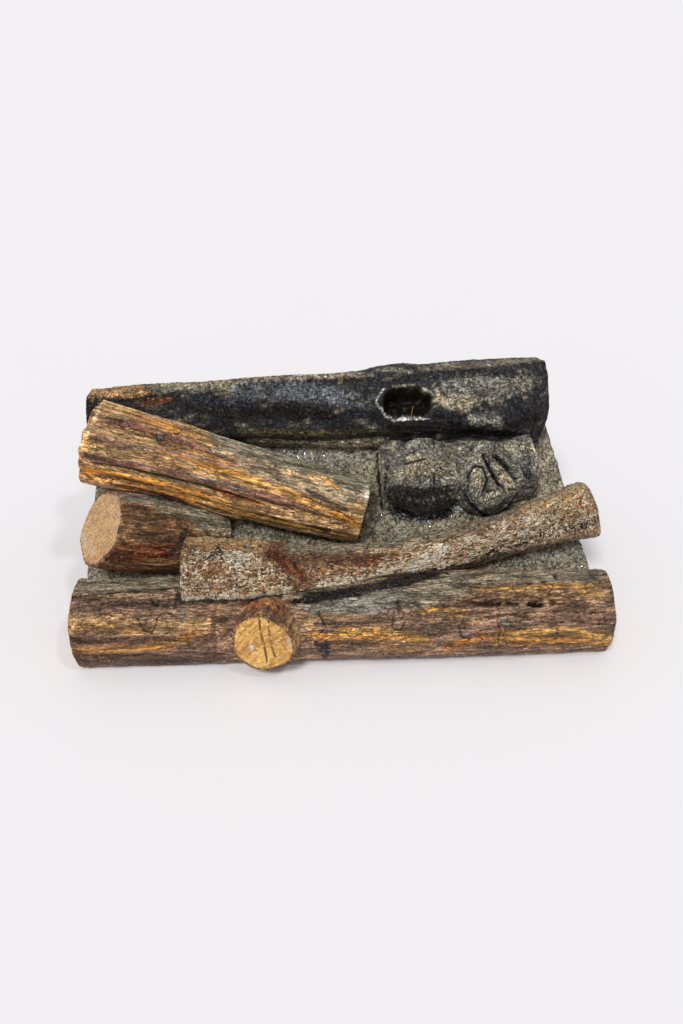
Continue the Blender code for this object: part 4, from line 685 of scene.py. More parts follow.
# How near its neighbours or the bed a log is darkened with painted shade, how ragged that is, and where the
# painted shade is black
SHADE_REACH = 0.005
SHADE_RAGGED = 0.004
SHADE_BLACK = -0.001
BED_SHADE_SLACK = 0.001

# Random gradients repeat after this many cells
NOISE_CELLS = 32
NOISE_SEED = 20
NOISE_GAIN = 1.5
SEED_STEP = np.array((7.31, 3.17, 5.53))


# Noise

def gradient_table():
    """Random unit vectors on a repeating lattice."""
    rng = np.random.default_rng(NOISE_SEED)
    table = rng.normal(size=(NOISE_CELLS, NOISE_CELLS, NOISE_CELLS, 3))
    return table / np.linalg.norm(table, axis=-1, keepdims=True)


GRADIENTS = gradient_table()


def noise(points, seed=0):
    """Gradient noise at points, about -1 to 1."""
    points = points + seed * SEED_STEP
    cell = np.floor(points).astype(int)
    inside = points - cell
    ease = inside**3 * (inside * (inside * 6 - 15) + 10)
    total = np.zeros(len(points))
    for corner in np.ndindex(2, 2, 2):
        corner = np.array(corner)
        index = (cell + corner) % NOISE_CELLS
        slope = GRADIENTS[index[:, 0], index[:, 1], index[:, 2]]
        weight = np.prod(np.where(corner, ease, 1 - ease), axis=1)
        total += weight * np.sum(slope * (inside - corner), axis=1)
    return total * NOISE_GAIN


def layered(points, layers, seed=0):
    """Noise of several sizes, each half the size and half the strength of the one before."""
    total = np.zeros(len(points))
    for layer in range(layers):
        total += noise(points * 2**layer, seed + layer) / 2**layer
    return total


def ridged(points, layers, seed=0):
    """Noise with sharp crests, 0 to 1."""
    total = np.zeros(len(points))
    for layer in range(layers):
        total += (1 - np.abs(noise(points * 2**layer, seed + layer)) * 2) / 2**layer
    return np.clip(total / 2, 0, 1)


def smoothstep(low, high, value):
    """An eased step from 0 at low to 1 at high."""
    share = np.clip((value - low) / (high - low), 0, 1)
    return share * share * (3 - 2 * share)


# The camera's view, by which strokes are laid

def camera_axes():
    """The camera's right, up and back directions."""
    back = np.array((0, -math.cos(CAMERA_ELEVATION), math.sin(CAMERA_ELEVATION)))
    up = np.array((0, math.sin(CAMERA_ELEVATION), math.cos(CAMERA_ELEVATION)))
    right = np.array((1.0, 0, 0))
    turn = (math.cos(CAMERA_ROLL), math.sin(CAMERA_ROLL))
    return right * turn[0] - up * turn[1], up * turn[0] + right * turn[1], back


def seen_from_front(points):
    """Where points lie in the picture, in its pixels from the top left."""
    right, up, back = camera_axes()
    offset = points - (np.array(CAMERA_TARGET) + back * CAMERA_DISTANCE)
    depth = -(offset @ back)
    across = PICTURE_WIDTH / 2 + FRAME_SHIFT_PIXELS + FOCAL_PIXELS * (offset @ right) / depth
    down = PICTURE_HEIGHT / 2 - FOCAL_PIXELS * (offset @ up) / depth
    return np.stack((across, down), axis=1)


def distance_to_path(places, path):
    """How far places lie from a path, and how far along it their nearest point is from its nearer end."""
    nearest = np.full(len(places), np.inf)
    along = np.zeros(len(places))
    before = 0.0
    for start, end in zip(path, path[1:]):
        start, end = np.array(start, float), np.array(end, float)
        run = end - start
        share = np.clip((places - start) @ run / (run @ run), 0, 1)
        apart = np.linalg.norm(places - start - share[:, None] * run, axis=1)
        length = math.hypot(*run)
        along = np.where(apart < nearest, before + share * length, along)
        nearest = np.minimum(nearest, apart)
        before += length
    return nearest, np.minimum(along, before - along), before


# The spines of the logs

def on_bed(across, up, height):
    """A place above the slope, with its height measured square to it."""
    place = SLOPE_START + SLOPE_UP * (up * SLOPE_LENGTH) + SLOPE_NORMAL * height
    return place + np.array((across * HALF_WIDTH, 0, 0))


def right_edge(y):
    """The bed's right edge, which leans in towards the back."""
    return HALF_WIDTH - BED_RIGHT_TAPER * (y - BED_SHOULDER) / (BED_REAR - BED_SHOULDER)


def span_of(share, count):
    """Which of count equal spans a share of the whole falls in, and how far into it."""
    index = np.minimum((share * count).astype(int), count - 1)
    return index, share * count - index


class Spine:
    """A log's middle line, its girth, and places on and round it."""

    def __init__(self, log):
        self.log = log
        self.places = np.array([on_bed(a, u, s * log.radius) for a, u, s in log.spine])
        self.length = float(np.linalg.norm(np.diff(self.places, axis=0), axis=1).sum())

    def middle(self, share):
        """Places on the smooth curve through the spine's points, and its directions there."""
        spans = len(self.places) - 1
        index, t = span_of(share, spans)
        t = t[:, None]
        start, end = self.places[index], self.places[index + 1]
        leave = (end - self.places[np.maximum(index - 1, 0)]) / 2
        arrive = (self.places[np.minimum(index + 2, spans)] - start) / 2
        place = (
            start * (2 * t**3 - 3 * t**2 + 1)
            + leave * (t**3 - 2 * t**2 + t)
            + end * (3 * t**2 - 2 * t**3)
            + arrive * (t**3 - t**2)
        )
        heading = (
            start * (6 * t**2 - 6 * t)
            + leave * (3 * t**2 - 4 * t + 1)
            + end * (6 * t - 6 * t**2)
            + arrive * (3 * t**2 - 2 * t)
        )
        return place, heading / np.linalg.norm(heading, axis=1, keepdims=True)

    def girth(self, share):
        """How thick the log is at a share of its length, as a multiple of its radius."""
        girths = np.array(self.log.girths)
        index, t = span_of(share, len(girths) - 1)
        t = t * t * (3 - 2 * t)
        return girths[index] * (1 - t) + girths[index + 1] * t

    def sides(self, heading):
        """Two directions square to the log and to each other."""
        standing = np.abs(heading @ SLOPE_NORMAL) > STANDING_SHARE
        across = np.where(standing[:, None], SLOPE_UP, SLOPE_NORMAL)
        side = np.cross(heading, across)
        side /= np.linalg.norm(side, axis=1, keepdims=True)
        return side, np.cross(side, heading)

    def reach(self, turn, share):
        """The plain log's radius at a turn and a share of its length, with its lobes and ridges."""
        girth = self.girth(share)
        for count, depth, phase, twist in self.log.lobes:
            girth = girth + depth * np.cos(count * turn + phase + twist * share * math.tau)
        for ridge in self.log.ridges:
            apart = np.abs((np.degrees(turn) - ridge.turn + 180) % 360 - 180) / ridge.half_turn
            past = np.maximum(np.maximum(ridge.start - share, share - ridge.end), 0) / RIDGE_FADE
            swell = 1 + np.cos(math.pi * np.minimum(apart, 1))
            swell = swell * (1 + np.cos(math.pi * np.minimum(past, 1)))
            girth = girth + ridge.rise * swell / 4
        return girth * self.log.radius


SPINES = {name: Spine(log) for name, log in LOGS.items()}
# How many discs stand for a log where distances to it are taken, and each one's half thickness as a share
# of the space between them
SPINE_STEPS = 32
DISC_SHARE = 0.6
# Pieces of one casting, which don't paint shade on one another where they meet
CASTINGS = (("front_log", "front_branch"), ("charred_log", "left_knot", "right_knot"))


def gap_to_logs(points, left_out=()):
    """How far points lie outside the nearest log, beside it or past its ends, and negative inside it."""
    nearest = np.full(len(points), np.inf)
    share = (np.arange(SPINE_STEPS) + 0.5) / SPINE_STEPS
    for name, spine in SPINES.items():
        if name in left_out:
            continue
        places, headings = spine.middle(share)
        reach = spine.girth(share) * spine.log.radius
        half = spine.length / SPINE_STEPS * DISC_SHARE
        for place, heading, radius in zip(places, headings, reach):
            offset = points - place
            along = offset @ heading
            beside = np.sqrt(np.maximum((offset**2).sum(axis=1) - along**2, 0)) - radius
            past = np.abs(along) - half
            outside = np.hypot(np.maximum(beside, 0), np.maximum(past, 0))
            nearest = np.minimum(nearest, np.where(outside > 0, outside, np.maximum(beside, past)))
    return nearest


def just_added(name):
    """The primitive that was added last, under its name."""
    made = bpy.context.object
    made.name = name
    return made


def places_of(mesh):
    """Where a mesh's vertices are, one row each."""
    flat = np.empty(len(mesh.vertices) * 3)
    mesh.vertices.foreach_get("co", flat)
    return flat.reshape(-1, 3)


def painted_over(paint, pot, cover):
    """Paint with a pot's colour laid over it, as strongly as cover says."""
    cover = cover[:, None]
    return paint * (1 - cover) + np.array(POTS[pot]) * cover


class Roll:
    """The sheet that is rolled into a log: turn, share and place of every vertex, and its paint."""

    def __init__(self, name, ground, cap_rings=CAP_RINGS):
        self.name = name
        self.spine = SPINES[name]
        self.radius = self.spine.log.radius
        around = round(math.tau * self.radius / PITCHES[name])
        rows = round(self.spine.length / PITCHES[name]) + 2 * cap_rings
        bpy.ops.object.select_all(action="DESELECT")
        bpy.ops.mesh.primitive_grid_add(x_subdivisions=around, y_subdivisions=rows, size=1)
        self.obj = just_added(name + "_skin")
        flat = places_of(self.obj.data)
        self.turn = (flat[:, 0] + 0.5) * math.tau
        row = (flat[:, 1] + 0.5) * rows
        self.share = np.clip((row - cap_rings) / (rows - 2 * cap_rings), 0, 1)
        end_cap = np.clip(1 - (rows - row) / cap_rings, 0, 1)
        self.cap = np.clip(1 - row / cap_rings, 0, 1) + end_cap
        self.at_end = end_cap > 0
        self.side = self.cap < SIDE_SHARE
        along = self.share * self.spine.length
        round_place = np.stack((np.cos(self.turn), np.sin(self.turn)), axis=1) * self.radius
        round_place *= (1 - self.cap)[:, None]
        self.straight = np.column_stack((round_place, along))
        self.near_end = np.minimum(along, self.spine.length - along)
        self.middle, self.heading = self.spine.middle(self.share)
        side, rise = self.spine.sides(self.heading)
        self.out = side * np.cos(self.turn)[:, None] + rise * np.sin(self.turn)[:, None]
        end_out = self.heading * np.where(self.at_end, 1.0, -1.0)[:, None]
        self.face_out = np.where(self.side[:, None], self.out, end_out)
        self.rise = np.zeros(len(flat))
        # How high each place stands, which the finish paints as shade in the hollows and light on the
        # crests
        self.relief_shade = np.full(len(flat), 0.5)
        self.gloss = np.zeros(len(flat))
        # Painted shade that a log's finish lays on, as in the burnt hole
        self.hole_shade = np.zeros(len(flat))
        self.clean = np.zeros(len(flat))
        self.paint = np.tile(np.array(POTS[ground]), (len(flat), 1))
        self.grain_scale = np.ones(3)
        self.plain = self.shape(self.rise)
        self.view = seen_from_front(self.plain)
        self.faces_front = smoothstep(SLANT_BARE, SLANT_FULL, self.face_out @ camera_axes()[2])
        self.edge_noise = EDGE_SHARE * noise(self.grain(EDGE_WIDTH, EDGE_RUN, EDGE_WANDER, seed=11))
        self.edge_noise += FINE_EDGE_SHARE * noise(self.straight / FINE_EDGE, seed=12)
        self.patches = PATCH_SHARE * noise(self.straight / PATCH_SIZE, seed=13)

    def burn(self):
        """Makes the grain and the strokes' edges run alike in all directions, as on charcoal."""
        self.grain_scale = np.array(BURNT_GRAIN)
        self.edge_noise = BURNT_EDGE_SHARE * noise(self.straight / BURNT_EDGE, seed=11)
        self.edge_noise += FINE_EDGE_SHARE * noise(self.straight / BURNT_FINE_EDGE, seed=12)

    def grain(self, width, run, wander=0.0, seed=0):
        """Coordinates for noise that is width across and run long, and wanders."""
        place = self.straight
        if wander:
            slow = place / WANDER_SIZE
            place = place + wander * np.column_stack(
                (noise(slow, seed + 40), noise(slow, seed + 41), 2 * noise(slow, seed + 42))
            )
        return place / np.array((width, width, run))

    def mask_of(self, path, width, where=None):
        """One along a path of the picture, with a ragged edge."""
        where = self.side if where is None else where
        apart, from_end, length = distance_to_path(self.view, path)
        worn = (1 - smoothstep(0, STROKE_END, from_end)) * (STROKE_WORN_SHARE + self.patches)
        worn = worn * min(1.0, length / LONG_STROKE)
        ragged = min(1.0, width / WIDE_STROKE)
        apart = apart / width + (self.edge_noise + worn) * ragged
        return smoothstep(STROKE_OUTER_SHARE, STROKE_INNER_SHARE, apart) * self.faces_front * where

    def haze(self, path, width):
        """A soft mask along a path of the picture."""
        apart, _, _ = distance_to_path(self.view, path)
        return np.exp(-((apart / width) ** 2)) * self.faces_front * self.side

    def lay(self, strokes, where=None):
        """Lays strokes of paint and carving on the side, or on the part given."""
        for stroke in strokes:
            mask = self.mask_of(stroke.path, stroke.width, where)
            cover = mask * stroke.cover
            self.paint = painted_over(self.paint, stroke.pot, cover)
            self.rise = self.rise + mask * stroke.rise
            if stroke.pot in ASH_POTS:
                self.clean = np.maximum(self.clean, cover)
            self.gloss = self.gloss * (1 - cover) + mask * stroke.gloss

    def wash(self, pot, mask):
        """Paints with a mask of its own."""
        self.paint = painted_over(self.paint, pot, np.clip(mask, 0, 1))

    def shape(self, rise, cap_rise=0.0):
        """World places of the vertices, with the underside tucked into the bed."""
        log = self.spine.log
        reach = self.spine.reach(self.turn, self.share)
        rounding = LOG_CHAMFER * (1 - smoothstep(0, LOG_CHAMFER, self.near_end))
        full = (reach - rounding + rise * self.side) * (1 - self.cap)
        # The near end is cut at a lean, and the far end leans only in its last stretch
        lean_turn = math.radians(log.lean_turn)
        cut_back = log.lean * (full * np.cos(self.turn - lean_turn) + log.radius) * (1 - self.share)
        cut_back = cut_back + log.end_lean * full * np.sin(self.turn) * self.share**4
        points = self.middle + self.out * full[:, None] + self.heading * cut_back[:, None]
        points = points + self.face_out * ((rise + cap_rise) * ~self.side)[:, None]
        return tuck_into_bed(points)

    def finish(self, cap_finish, bark_finish, cap_rise=0.0):
        """Closes the rolled sheet, stores its paint and gives it its finishes."""
        points = self.shape(self.rise, cap_rise)
        mesh = self.obj.data
        mesh.vertices.foreach_set("co", points.ravel())
        store(mesh, "gloss", self.gloss)
        store(mesh, "relief_shade", self.relief_shade)
        # Painted shade beside neighbours and bed, lighter under ash, with the painted shade of the burnt
        # hole
        soot = self.shade_near(points) * (1 - ASH_CLEAN_SHARE * self.clean)
        store(mesh, "soot", np.maximum(soot, self.hole_shade))
        store_vector(mesh, "bark_place", self.straight * self.grain_scale)
        store_colour(mesh, "paint", self.paint)
        mesh.materials.append(bpy.data.materials[bark_finish])
        mesh.materials.append(bpy.data.materials[cap_finish])
        corners = np.empty(len(mesh.polygons) * 4, np.int32)
        mesh.loops.foreach_get("vertex_index", corners)
        on_cap = self.cap[corners.reshape(-1, 4)].max(axis=1) > SIDE_SHARE
        mesh.polygons.foreach_set("material_index", on_cap.astype(np.int32))
        close_up(self.obj)
        dress(self.obj, "shell", self.name)

    def shade_near(self, points):
        """Painted shade where a log comes close to its neighbours or to the bed."""
        joined = next((names for names in CASTINGS if self.name in names), (self.name,))
        gap = gap_to_logs(points, left_out=joined)
        over_slope = (points - SLOPE_START) @ SLOPE_NORMAL
        over_deck = points[:, 2] - BED_TOP
        gap = np.minimum(gap, np.maximum(over_slope, over_deck) + BED_SHADE_SLACK)
        return smoothstep(SHADE_REACH, SHADE_BLACK, gap + self.edge_noise * SHADE_RAGGED)


def store(mesh, name, values):
    """Keeps a share for every vertex, for a finish to read."""
    made = mesh.attributes.new(name, "FLOAT", "POINT")
    made.data.foreach_set("value", np.clip(values, 0, 1).astype(np.float32))


def store_vector(mesh, name, values):
    """Keeps a place for every vertex, for a finish to read."""
    made = mesh.attributes.new(name, "FLOAT_VECTOR", "POINT")
    made.data.foreach_set("vector", values.astype(np.float32).ravel())


def store_colour(mesh, name, values):
    """Keeps a colour for every vertex, for a finish to read."""
    made = mesh.attributes.new(name, "FLOAT_COLOR", "POINT")
    with_alpha = np.column_stack((values, np.ones(len(values))))
    made.data.foreach_set("color", with_alpha.astype(np.float32).ravel())


def tuck_into_bed(points):
    """Lifts what would hang deeper in the bed than the tuck, or below the floor."""
    points = points.copy()
    over_slope = (points - SLOPE_START) @ SLOPE_NORMAL
    over_deck = points[:, 2] - BED_TOP
    inside = (points[:, 0] > -HALF_WIDTH) & (points[:, 0] < right_edge(points[:, 1]))
    inside &= points[:, 1] < BED_REAR
    by_slope = inside & (over_slope >= over_deck) & (over_slope < -TUCK)
    by_deck = inside & (over_slope < over_deck) & (over_deck < -TUCK)
    points[by_slope] += SLOPE_NORMAL * (-TUCK - over_slope[by_slope])[:, None]
    points[by_deck, 2] = BED_TOP - TUCK
    points[:, 2] = np.maximum(points[:, 2], LOWEST)
    return points


def close_up(obj):
    """Merges a sheet's seam and poles, turns its faces outwards and smooths it."""
    bpy.ops.object.select_all(action="DESELECT")
    obj.select_set(True)
    bpy.context.view_layer.objects.active = obj
    bpy.ops.object.mode_set(mode="EDIT")
    bpy.ops.mesh.select_all(action="SELECT")
    bpy.ops.mesh.remove_doubles(threshold=MERGE_DISTANCE)
    bpy.ops.mesh.normals_make_consistent(inside=False)
    bpy.ops.object.mode_set(mode="OBJECT")
    obj.data.shade_smooth()


def dress(obj, body, *nodes, slot=None):
    """Puts a finished piece on its body, in the place of the nodes that it stands for."""
    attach(obj, body)
    if nodes:
        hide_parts(*nodes)


# Shader nodes

def socket(sockets, identifier):
    """The socket of that name or identifier."""
    return next(s for s in sockets if s.identifier == identifier or s.name == identifier)


class Graph:
    """A short way to write a node tree: inputs are sockets, numbers or colours."""

    def __init__(self, tree):
        self.tree = tree

    def put(self, value, target):
        """Links a socket to the target, or sets the target to a number or colour."""
        if isinstance(value, bpy.types.NodeSocket):
            self.tree.links.new(value, target)
        elif value is not None:
            if hasattr(target.default_value, "__len__") and len(target.default_value) == 4:
                value = (*value[:3], 1)
            target.default_value = value

    def node(self, kind, inputs=None, **settings):
        """A new node with its inputs and settings."""
        made = self.tree.nodes.new(kind)
        for name, value in settings.items():
            setattr(made, name, value)
        for name, value in (inputs or {}).items():
            self.put(value, socket(made.inputs, name))
        return made

    def attribute(self, name, output="Fac"):
        """What is stored on the mesh under that name."""
        return self.node("ShaderNodeAttribute", attribute_name=name).outputs[output]

    def maths(self, operation, first, second=None, third=None):
        """One sum on numbers or masks."""
        made = self.node("ShaderNodeMath", operation=operation)
        for value, target in zip((first, second, third), made.inputs):
            self.put(value, target)
        return made.outputs[0]

    def mix(self, factor, first, second):
        """The first colour, or the second where the factor is one."""
        made = self.node("ShaderNodeMix", data_type="RGBA", clamp_factor=True)
        self.put(factor, socket(made.inputs, "Factor_Float"))
        self.put(first, socket(made.inputs, "A_Color"))
        self.put(second, socket(made.inputs, "B_Color"))
        return socket(made.outputs, "Result_Color")

    def scale(self, colour, factor):
        """A colour made darker or lighter."""
        made = self.node("ShaderNodeVectorMath", operation="SCALE")
        self.put(colour, made.inputs[0])
        self.put(factor, made.inputs["Scale"])
        return made.outputs[0]

    def between(self, value, low, high, to_low=0.0, to_high=1.0):
        """An eased change from one value to another as the given one goes from low to high."""
        made = self.node("ShaderNodeMapRange", interpolation_type="SMOOTHSTEP")
        given = {"Value": value, "From Min": low, "From Max": high, "To Min": to_low, "To Max": to_high}
        for name, number in given.items():
            self.put(number, socket(made.inputs, name))
        return made.outputs[0]

    def stretch(self, vector, scale):
        """Places with their three directions scaled."""
        made = self.node("ShaderNodeMapping", {"Vector": vector})
        made.inputs["Scale"].default_value = scale
        return made.outputs[0]

    def noise(self, vector, scale, detail, roughness=0.55, distortion=0.0):
        """Noise of scale cells to the metre, or of three scales across, across and along."""
        if isinstance(scale, tuple):
            vector, scale = self.stretch(vector, scale), 1.0
        made = self.node("ShaderNodeTexNoise", {
            "Vector": vector, "Scale": scale, "Detail": detail, "Roughness": roughness,
            "Distortion": distortion,
        })
        return made.outputs[0]

    def lines(self, value, width):
        """A mask of thin lines where a value crosses its middle."""
        apart = self.maths("ABSOLUTE", self.maths("SUBTRACT", value, 0.5))
        return self.between(apart, 0.0, width, 1.0, 0.0)

    def edges(self, vector, scale, sway, width=0.10):
        """A mask of the thin borders between cells of the three scales, swayed by noise."""
        vector = self.stretch(vector, scale)
        drift = self.node("ShaderNodeTexNoise", {"Vector": vector, "Scale": 1.3, "Detail": 3.0})
        swayed = self.node("ShaderNodeVectorMath", operation="MULTIPLY_ADD")
        self.put(drift.outputs["Color"], swayed.inputs[0])
        self.put((sway * 3, sway * 3, sway * 3), swayed.inputs[1])
        self.put(vector, swayed.inputs[2])
        cells = self.node(
            "ShaderNodeTexVoronoi", {"Vector": swayed.outputs[0], "Scale": 1.0}, feature="DISTANCE_TO_EDGE"
        )
        return self.between(cells.outputs["Distance"], 0.0, width, 1.0, 0.0)

    def bump(self, height, distance, strength=1.0):
        """The normal of a fine relief that is distance high."""
        made = self.node("ShaderNodeBump", {"Height": height, "Distance": distance, "Strength": strength})
        return made.outputs["Normal"]


def new_material(name):
    """The graph and the surface shader of a new material."""
    made = bpy.data.materials.new(name)
    made.use_nodes = True
    return Graph(made.node_tree), made.node_tree.nodes["Principled BSDF"]


SOCKET_KINDS = {"vector": "NodeSocketVector", "colour": "NodeSocketColor", "value": "NodeSocketFloat"}


def new_group(name, inputs, outputs):
    """A shared node group with named inputs and outputs, its graph, and its ends."""
    tree = bpy.data.node_groups.new(name, "ShaderNodeTree")
    for label, kind in inputs.items():
        tree.interface.new_socket(label, in_out="INPUT", socket_type=SOCKET_KINDS[kind])
    for label, kind in outputs.items():
        tree.interface.new_socket(label, in_out="OUTPUT", socket_type=SOCKET_KINDS[kind])
    graph = Graph(tree)
    return graph, graph.node("NodeGroupInput").outputs, graph.node("NodeGroupOutput").inputs


def use_group(graph, name, **values):
    """A shared group's outputs, with its inputs given by name."""
    made = graph.node("ShaderNodeGroup", node_tree=bpy.data.node_groups[name])
    for label, value in values.items():
        graph.put(value, made.inputs[label.replace("_", " ").capitalize()])
    return made.outputs


# The noises of the finishes: cells to the metre, or across, across and along the grain, then how many
# layers, how rough and how bent
NOISES = {
    "fibre": ((620, 620, 75), 4.0, 0.6, 0.5),
    "braid": ((170, 170, 34), 4.0, 0.66, 1.2),
    "fine cracks": ((330, 330, 110), 4.0, 0.66, 1.0),
    "crack patches": ((46, 46, 24), 3.0),
    "blotches": ((70, 70, 22), 5.0, 0.62, 0.4),
    "dust patches": (170, 6.0, 0.7),
    "dust specks": (850, 3.0, 0.6),
    "bark grit": ((560, 560, 300), 3.0, 0.62, 0.6),
    "birch dabs": ((250, 250, 190), 3.0, 0.55, 1.6),
    "birch dots": ((380, 380, 300), 2.0, 0.5, 1.2),
    "saw lines": ((40, 430, 1), 2.0, 0.5, 0.15),
    "wood dots": ((360, 560, 1), 3.0, 0.6, 0.5),
    "wood shade": ((80, 80, 1), 4.0, 0.6),
    "ash shade": (70, 6.0, 0.62, 0.4),
    "ash crumbs": (300, 6.0, 0.72, 0.6),
    "ash grit": (640, 2.0, 0.5),
    "metal shade": (260, 5.0, 0.6),
    "metal rub": ((900, 120, 900), 3.0, 0.6),
    "glass streaks": ((200, 200, 60), 3.0, 0.5),
    "paper shade": (3, 2.0),
}
# Cells that cracks run between: their scales, how they sway and how wide the cracks are
BARK_CELLS = ((210, 210, 80), 0.35, 0.10)
CHAR_CELLS = ((150, 150, 110), 0.5, 0.09)
ASH_CELLS = ((130, 130, 130), 0.6, 0.08)
BRAID_CRACK = 0.014
FINE_CRACK = 0.022
# The finest relief of each finish, in metres
BARK_BUMP = 0.0022
BIRCH_BUMP = 0.0026
WOOD_BUMP = 0.0014
ASH_BUMP = 0.0028
METAL_BUMP = 0.00006
# What the finishes mix into the paint
DYES = {
    "old dust": srgb(60, 54, 44),
    # The black of the painted shade in the crevices and in the burnt hole
    "soot": srgb(22, 20, 18),
    "bark grit": srgb(40, 28, 20),
    "bark crack": srgb(30, 19, 12),
    "birch grit": srgb(58, 36, 22),
    "birch dots": srgb(54, 36, 24),
    "birch tan": srgb(214, 176, 124),
    "birch cream": srgb(255, 240, 212),
    "birch dust": srgb(206, 184, 148),
    "birch crack": srgb(46, 30, 20),
    "ash shadow": srgb(40, 36, 27),
    "ash crumbs": srgb(196, 188, 168),
    "ash crack": srgb(26, 24, 20),
    "ash grit": srgb(226, 224, 214),
    "ash dust": srgb(158, 152, 132),
    "brown fleck": srgb(226, 196, 150),
    "char fleck": srgb(176, 174, 162),
    "golden line": srgb(160, 104, 40),
    "golden fleck": srgb(255, 226, 150),
    "pale line": srgb(142, 92, 48),
    "pale fleck": srgb(240, 212, 168),
    "wire": srgb(150, 118, 76),
}


def grain_group():
    """Fibres, braided cracks and blotches that run along a log."""
    graph, given, out = new_group(
        "log_grain", {"Place": "vector"}, {"Fibre": "value", "Cracks": "value", "Blotch": "value"}
    )
    place = given["Place"]
    braid = graph.lines(graph.noise(place, *NOISES["braid"]), BRAID_CRACK)
    fine = graph.lines(graph.noise(place, *NOISES["fine cracks"]), FINE_CRACK)
    cells = graph.edges(place, *BARK_CELLS)
    presence = graph.between(graph.noise(place, *NOISES["crack patches"]), 0.42, 0.56)
    lines = graph.maths("MAXIMUM", braid, graph.maths("MULTIPLY", fine, 0.6))
    lines = graph.maths("MAXIMUM", lines, graph.maths("MULTIPLY", cells, presence))
    graph.put(graph.noise(place, *NOISES["fibre"]), out["Fibre"])
    graph.put(lines, out["Cracks"])
    graph.put(graph.noise(place, *NOISES["blotches"]), out["Blotch"])


def dust_and_shade_group():
    """Dust on what faces up, in blotches, and painted shade in the crevices and where parts meet."""
    graph, given, out = new_group(
        "dust_and_shade",
        {
            "Color": "colour", "Roughness": "value", "Dust": "value", "Dust color": "colour",
            "Soot": "value", "Place": "vector",
        },
        {"Color": "colour", "Roughness": "value"},
    )
    normal = graph.node("ShaderNodeNewGeometry").outputs["Normal"]
    up = graph.node("ShaderNodeSeparateXYZ", {"Vector": normal}).outputs["Z"]
    patch = graph.noise(given["Place"], *NOISES["dust patches"])
    speck = graph.noise(given["Place"], *NOISES["dust specks"])
    wish = graph.maths("ADD", graph.maths("MULTIPLY_ADD", up, 0.5, -0.35), given["Dust"])
    wish = graph.maths("ADD", wish, graph.maths("MULTIPLY_ADD", patch, 2.4, -1.2))
    amount = graph.maths("MULTIPLY", graph.between(wish, 0.15, 0.75), 0.75)
    dust = graph.mix(graph.between(speck, 0.36, 0.62, 0.45, 0.0), given["Dust color"], DYES["old dust"])
    dusty = graph.mix(amount, given["Color"], dust)
    # Painted shade from the stored share, broken up by the dust patches
    wish = graph.maths("ADD", given["Soot"], graph.maths("MULTIPLY_ADD", patch, 1.2, -0.6))
    black = graph.maths("MULTIPLY", graph.between(wish, 0.25, 0.95), 0.92)
    graph.put(graph.mix(black, dusty, DYES["soot"]), out["Color"])
    graph.put(graph.maths("MULTIPLY_ADD", amount, 0.4, given["Roughness"]), out["Roughness"])


def dusted_and_shaded(
    graph, shader, place, base, roughness, dust, dust_colour, gloss_gain, least_roughness, crack=None
):
    """Gives a shader its base colour under dust and painted shade, its dark cracks and its strokes' gloss.
    """
    # Dust and painted shade over the base colour
    worn = use_group(
        graph, "dust_and_shade", color=base, roughness=roughness, dust=dust, dust_color=dust_colour,
        soot=graph.attribute("soot"), place=place,
    )
    colour = worn["Color"]
    if crack:
        cover, dye = crack
        colour = graph.mix(cover, colour, dye)
    graph.put(colour, shader.inputs["Base Color"])
    dull = graph.maths("MULTIPLY_ADD", graph.attribute("gloss"), -gloss_gain, worn["Roughness"])
    graph.put(graph.maths("MAXIMUM", dull, least_roughness), shader.inputs["Roughness"])


def painted_bark(
    name, dust, dust_colour, roughness, contrast, lift, crack_cover, fleck, fleck_cover, vein_gain=0.0
):
    """Bark under its paint: fibres, cracks, dark and light grit, painted shade and light from the carving,
    then dust and painted shade in the crevices.
    """
    graph, shader = new_material(name)
    place = graph.attribute("bark_place", "Vector")
    grain = use_group(graph, "log_grain", place=place)
    shade = graph.between(grain["Fibre"], 0.40, 0.60, lift - contrast, lift + contrast)
    shade = graph.maths("MULTIPLY", shade, graph.between(grain["Blotch"], 0.38, 0.62, 0.78, 1.22))
    # Painted shade in the carved hollows and painted light on the crests
    shade = graph.maths("MULTIPLY", shade, graph.between(graph.attribute("relief_shade"), 0.1, 0.7, 0.50, 1.20))
    base = graph.scale(graph.attribute("paint", "Color"), shade)
    if vein_gain:
        web = graph.edges(place, *CHAR_CELLS)
        base = graph.scale(base, graph.maths("MULTIPLY_ADD", web, vein_gain, 1.0))
    grit = graph.noise(place, *NOISES["bark grit"])
    base = graph.mix(graph.between(grit, 0.43, 0.36, 0.0, 0.7), base, DYES["bark grit"])
    base = graph.mix(graph.between(grit, 0.59, 0.68, 0.0, fleck_cover), base, fleck)
    crack = graph.maths("MULTIPLY", grain["Cracks"], crack_cover)
    dusted_and_shaded(
        graph, shader, place, base, roughness, dust, dust_colour, gloss_gain=0.38, least_roughness=0.12,
        crack=(crack, DYES["bark crack"]),
    )
    height = graph.maths("SUBTRACT", graph.maths("ADD", grain["Fibre"], grit), crack)
    graph.put(graph.bump(height, BARK_BUMP), shader.inputs["Normal"])


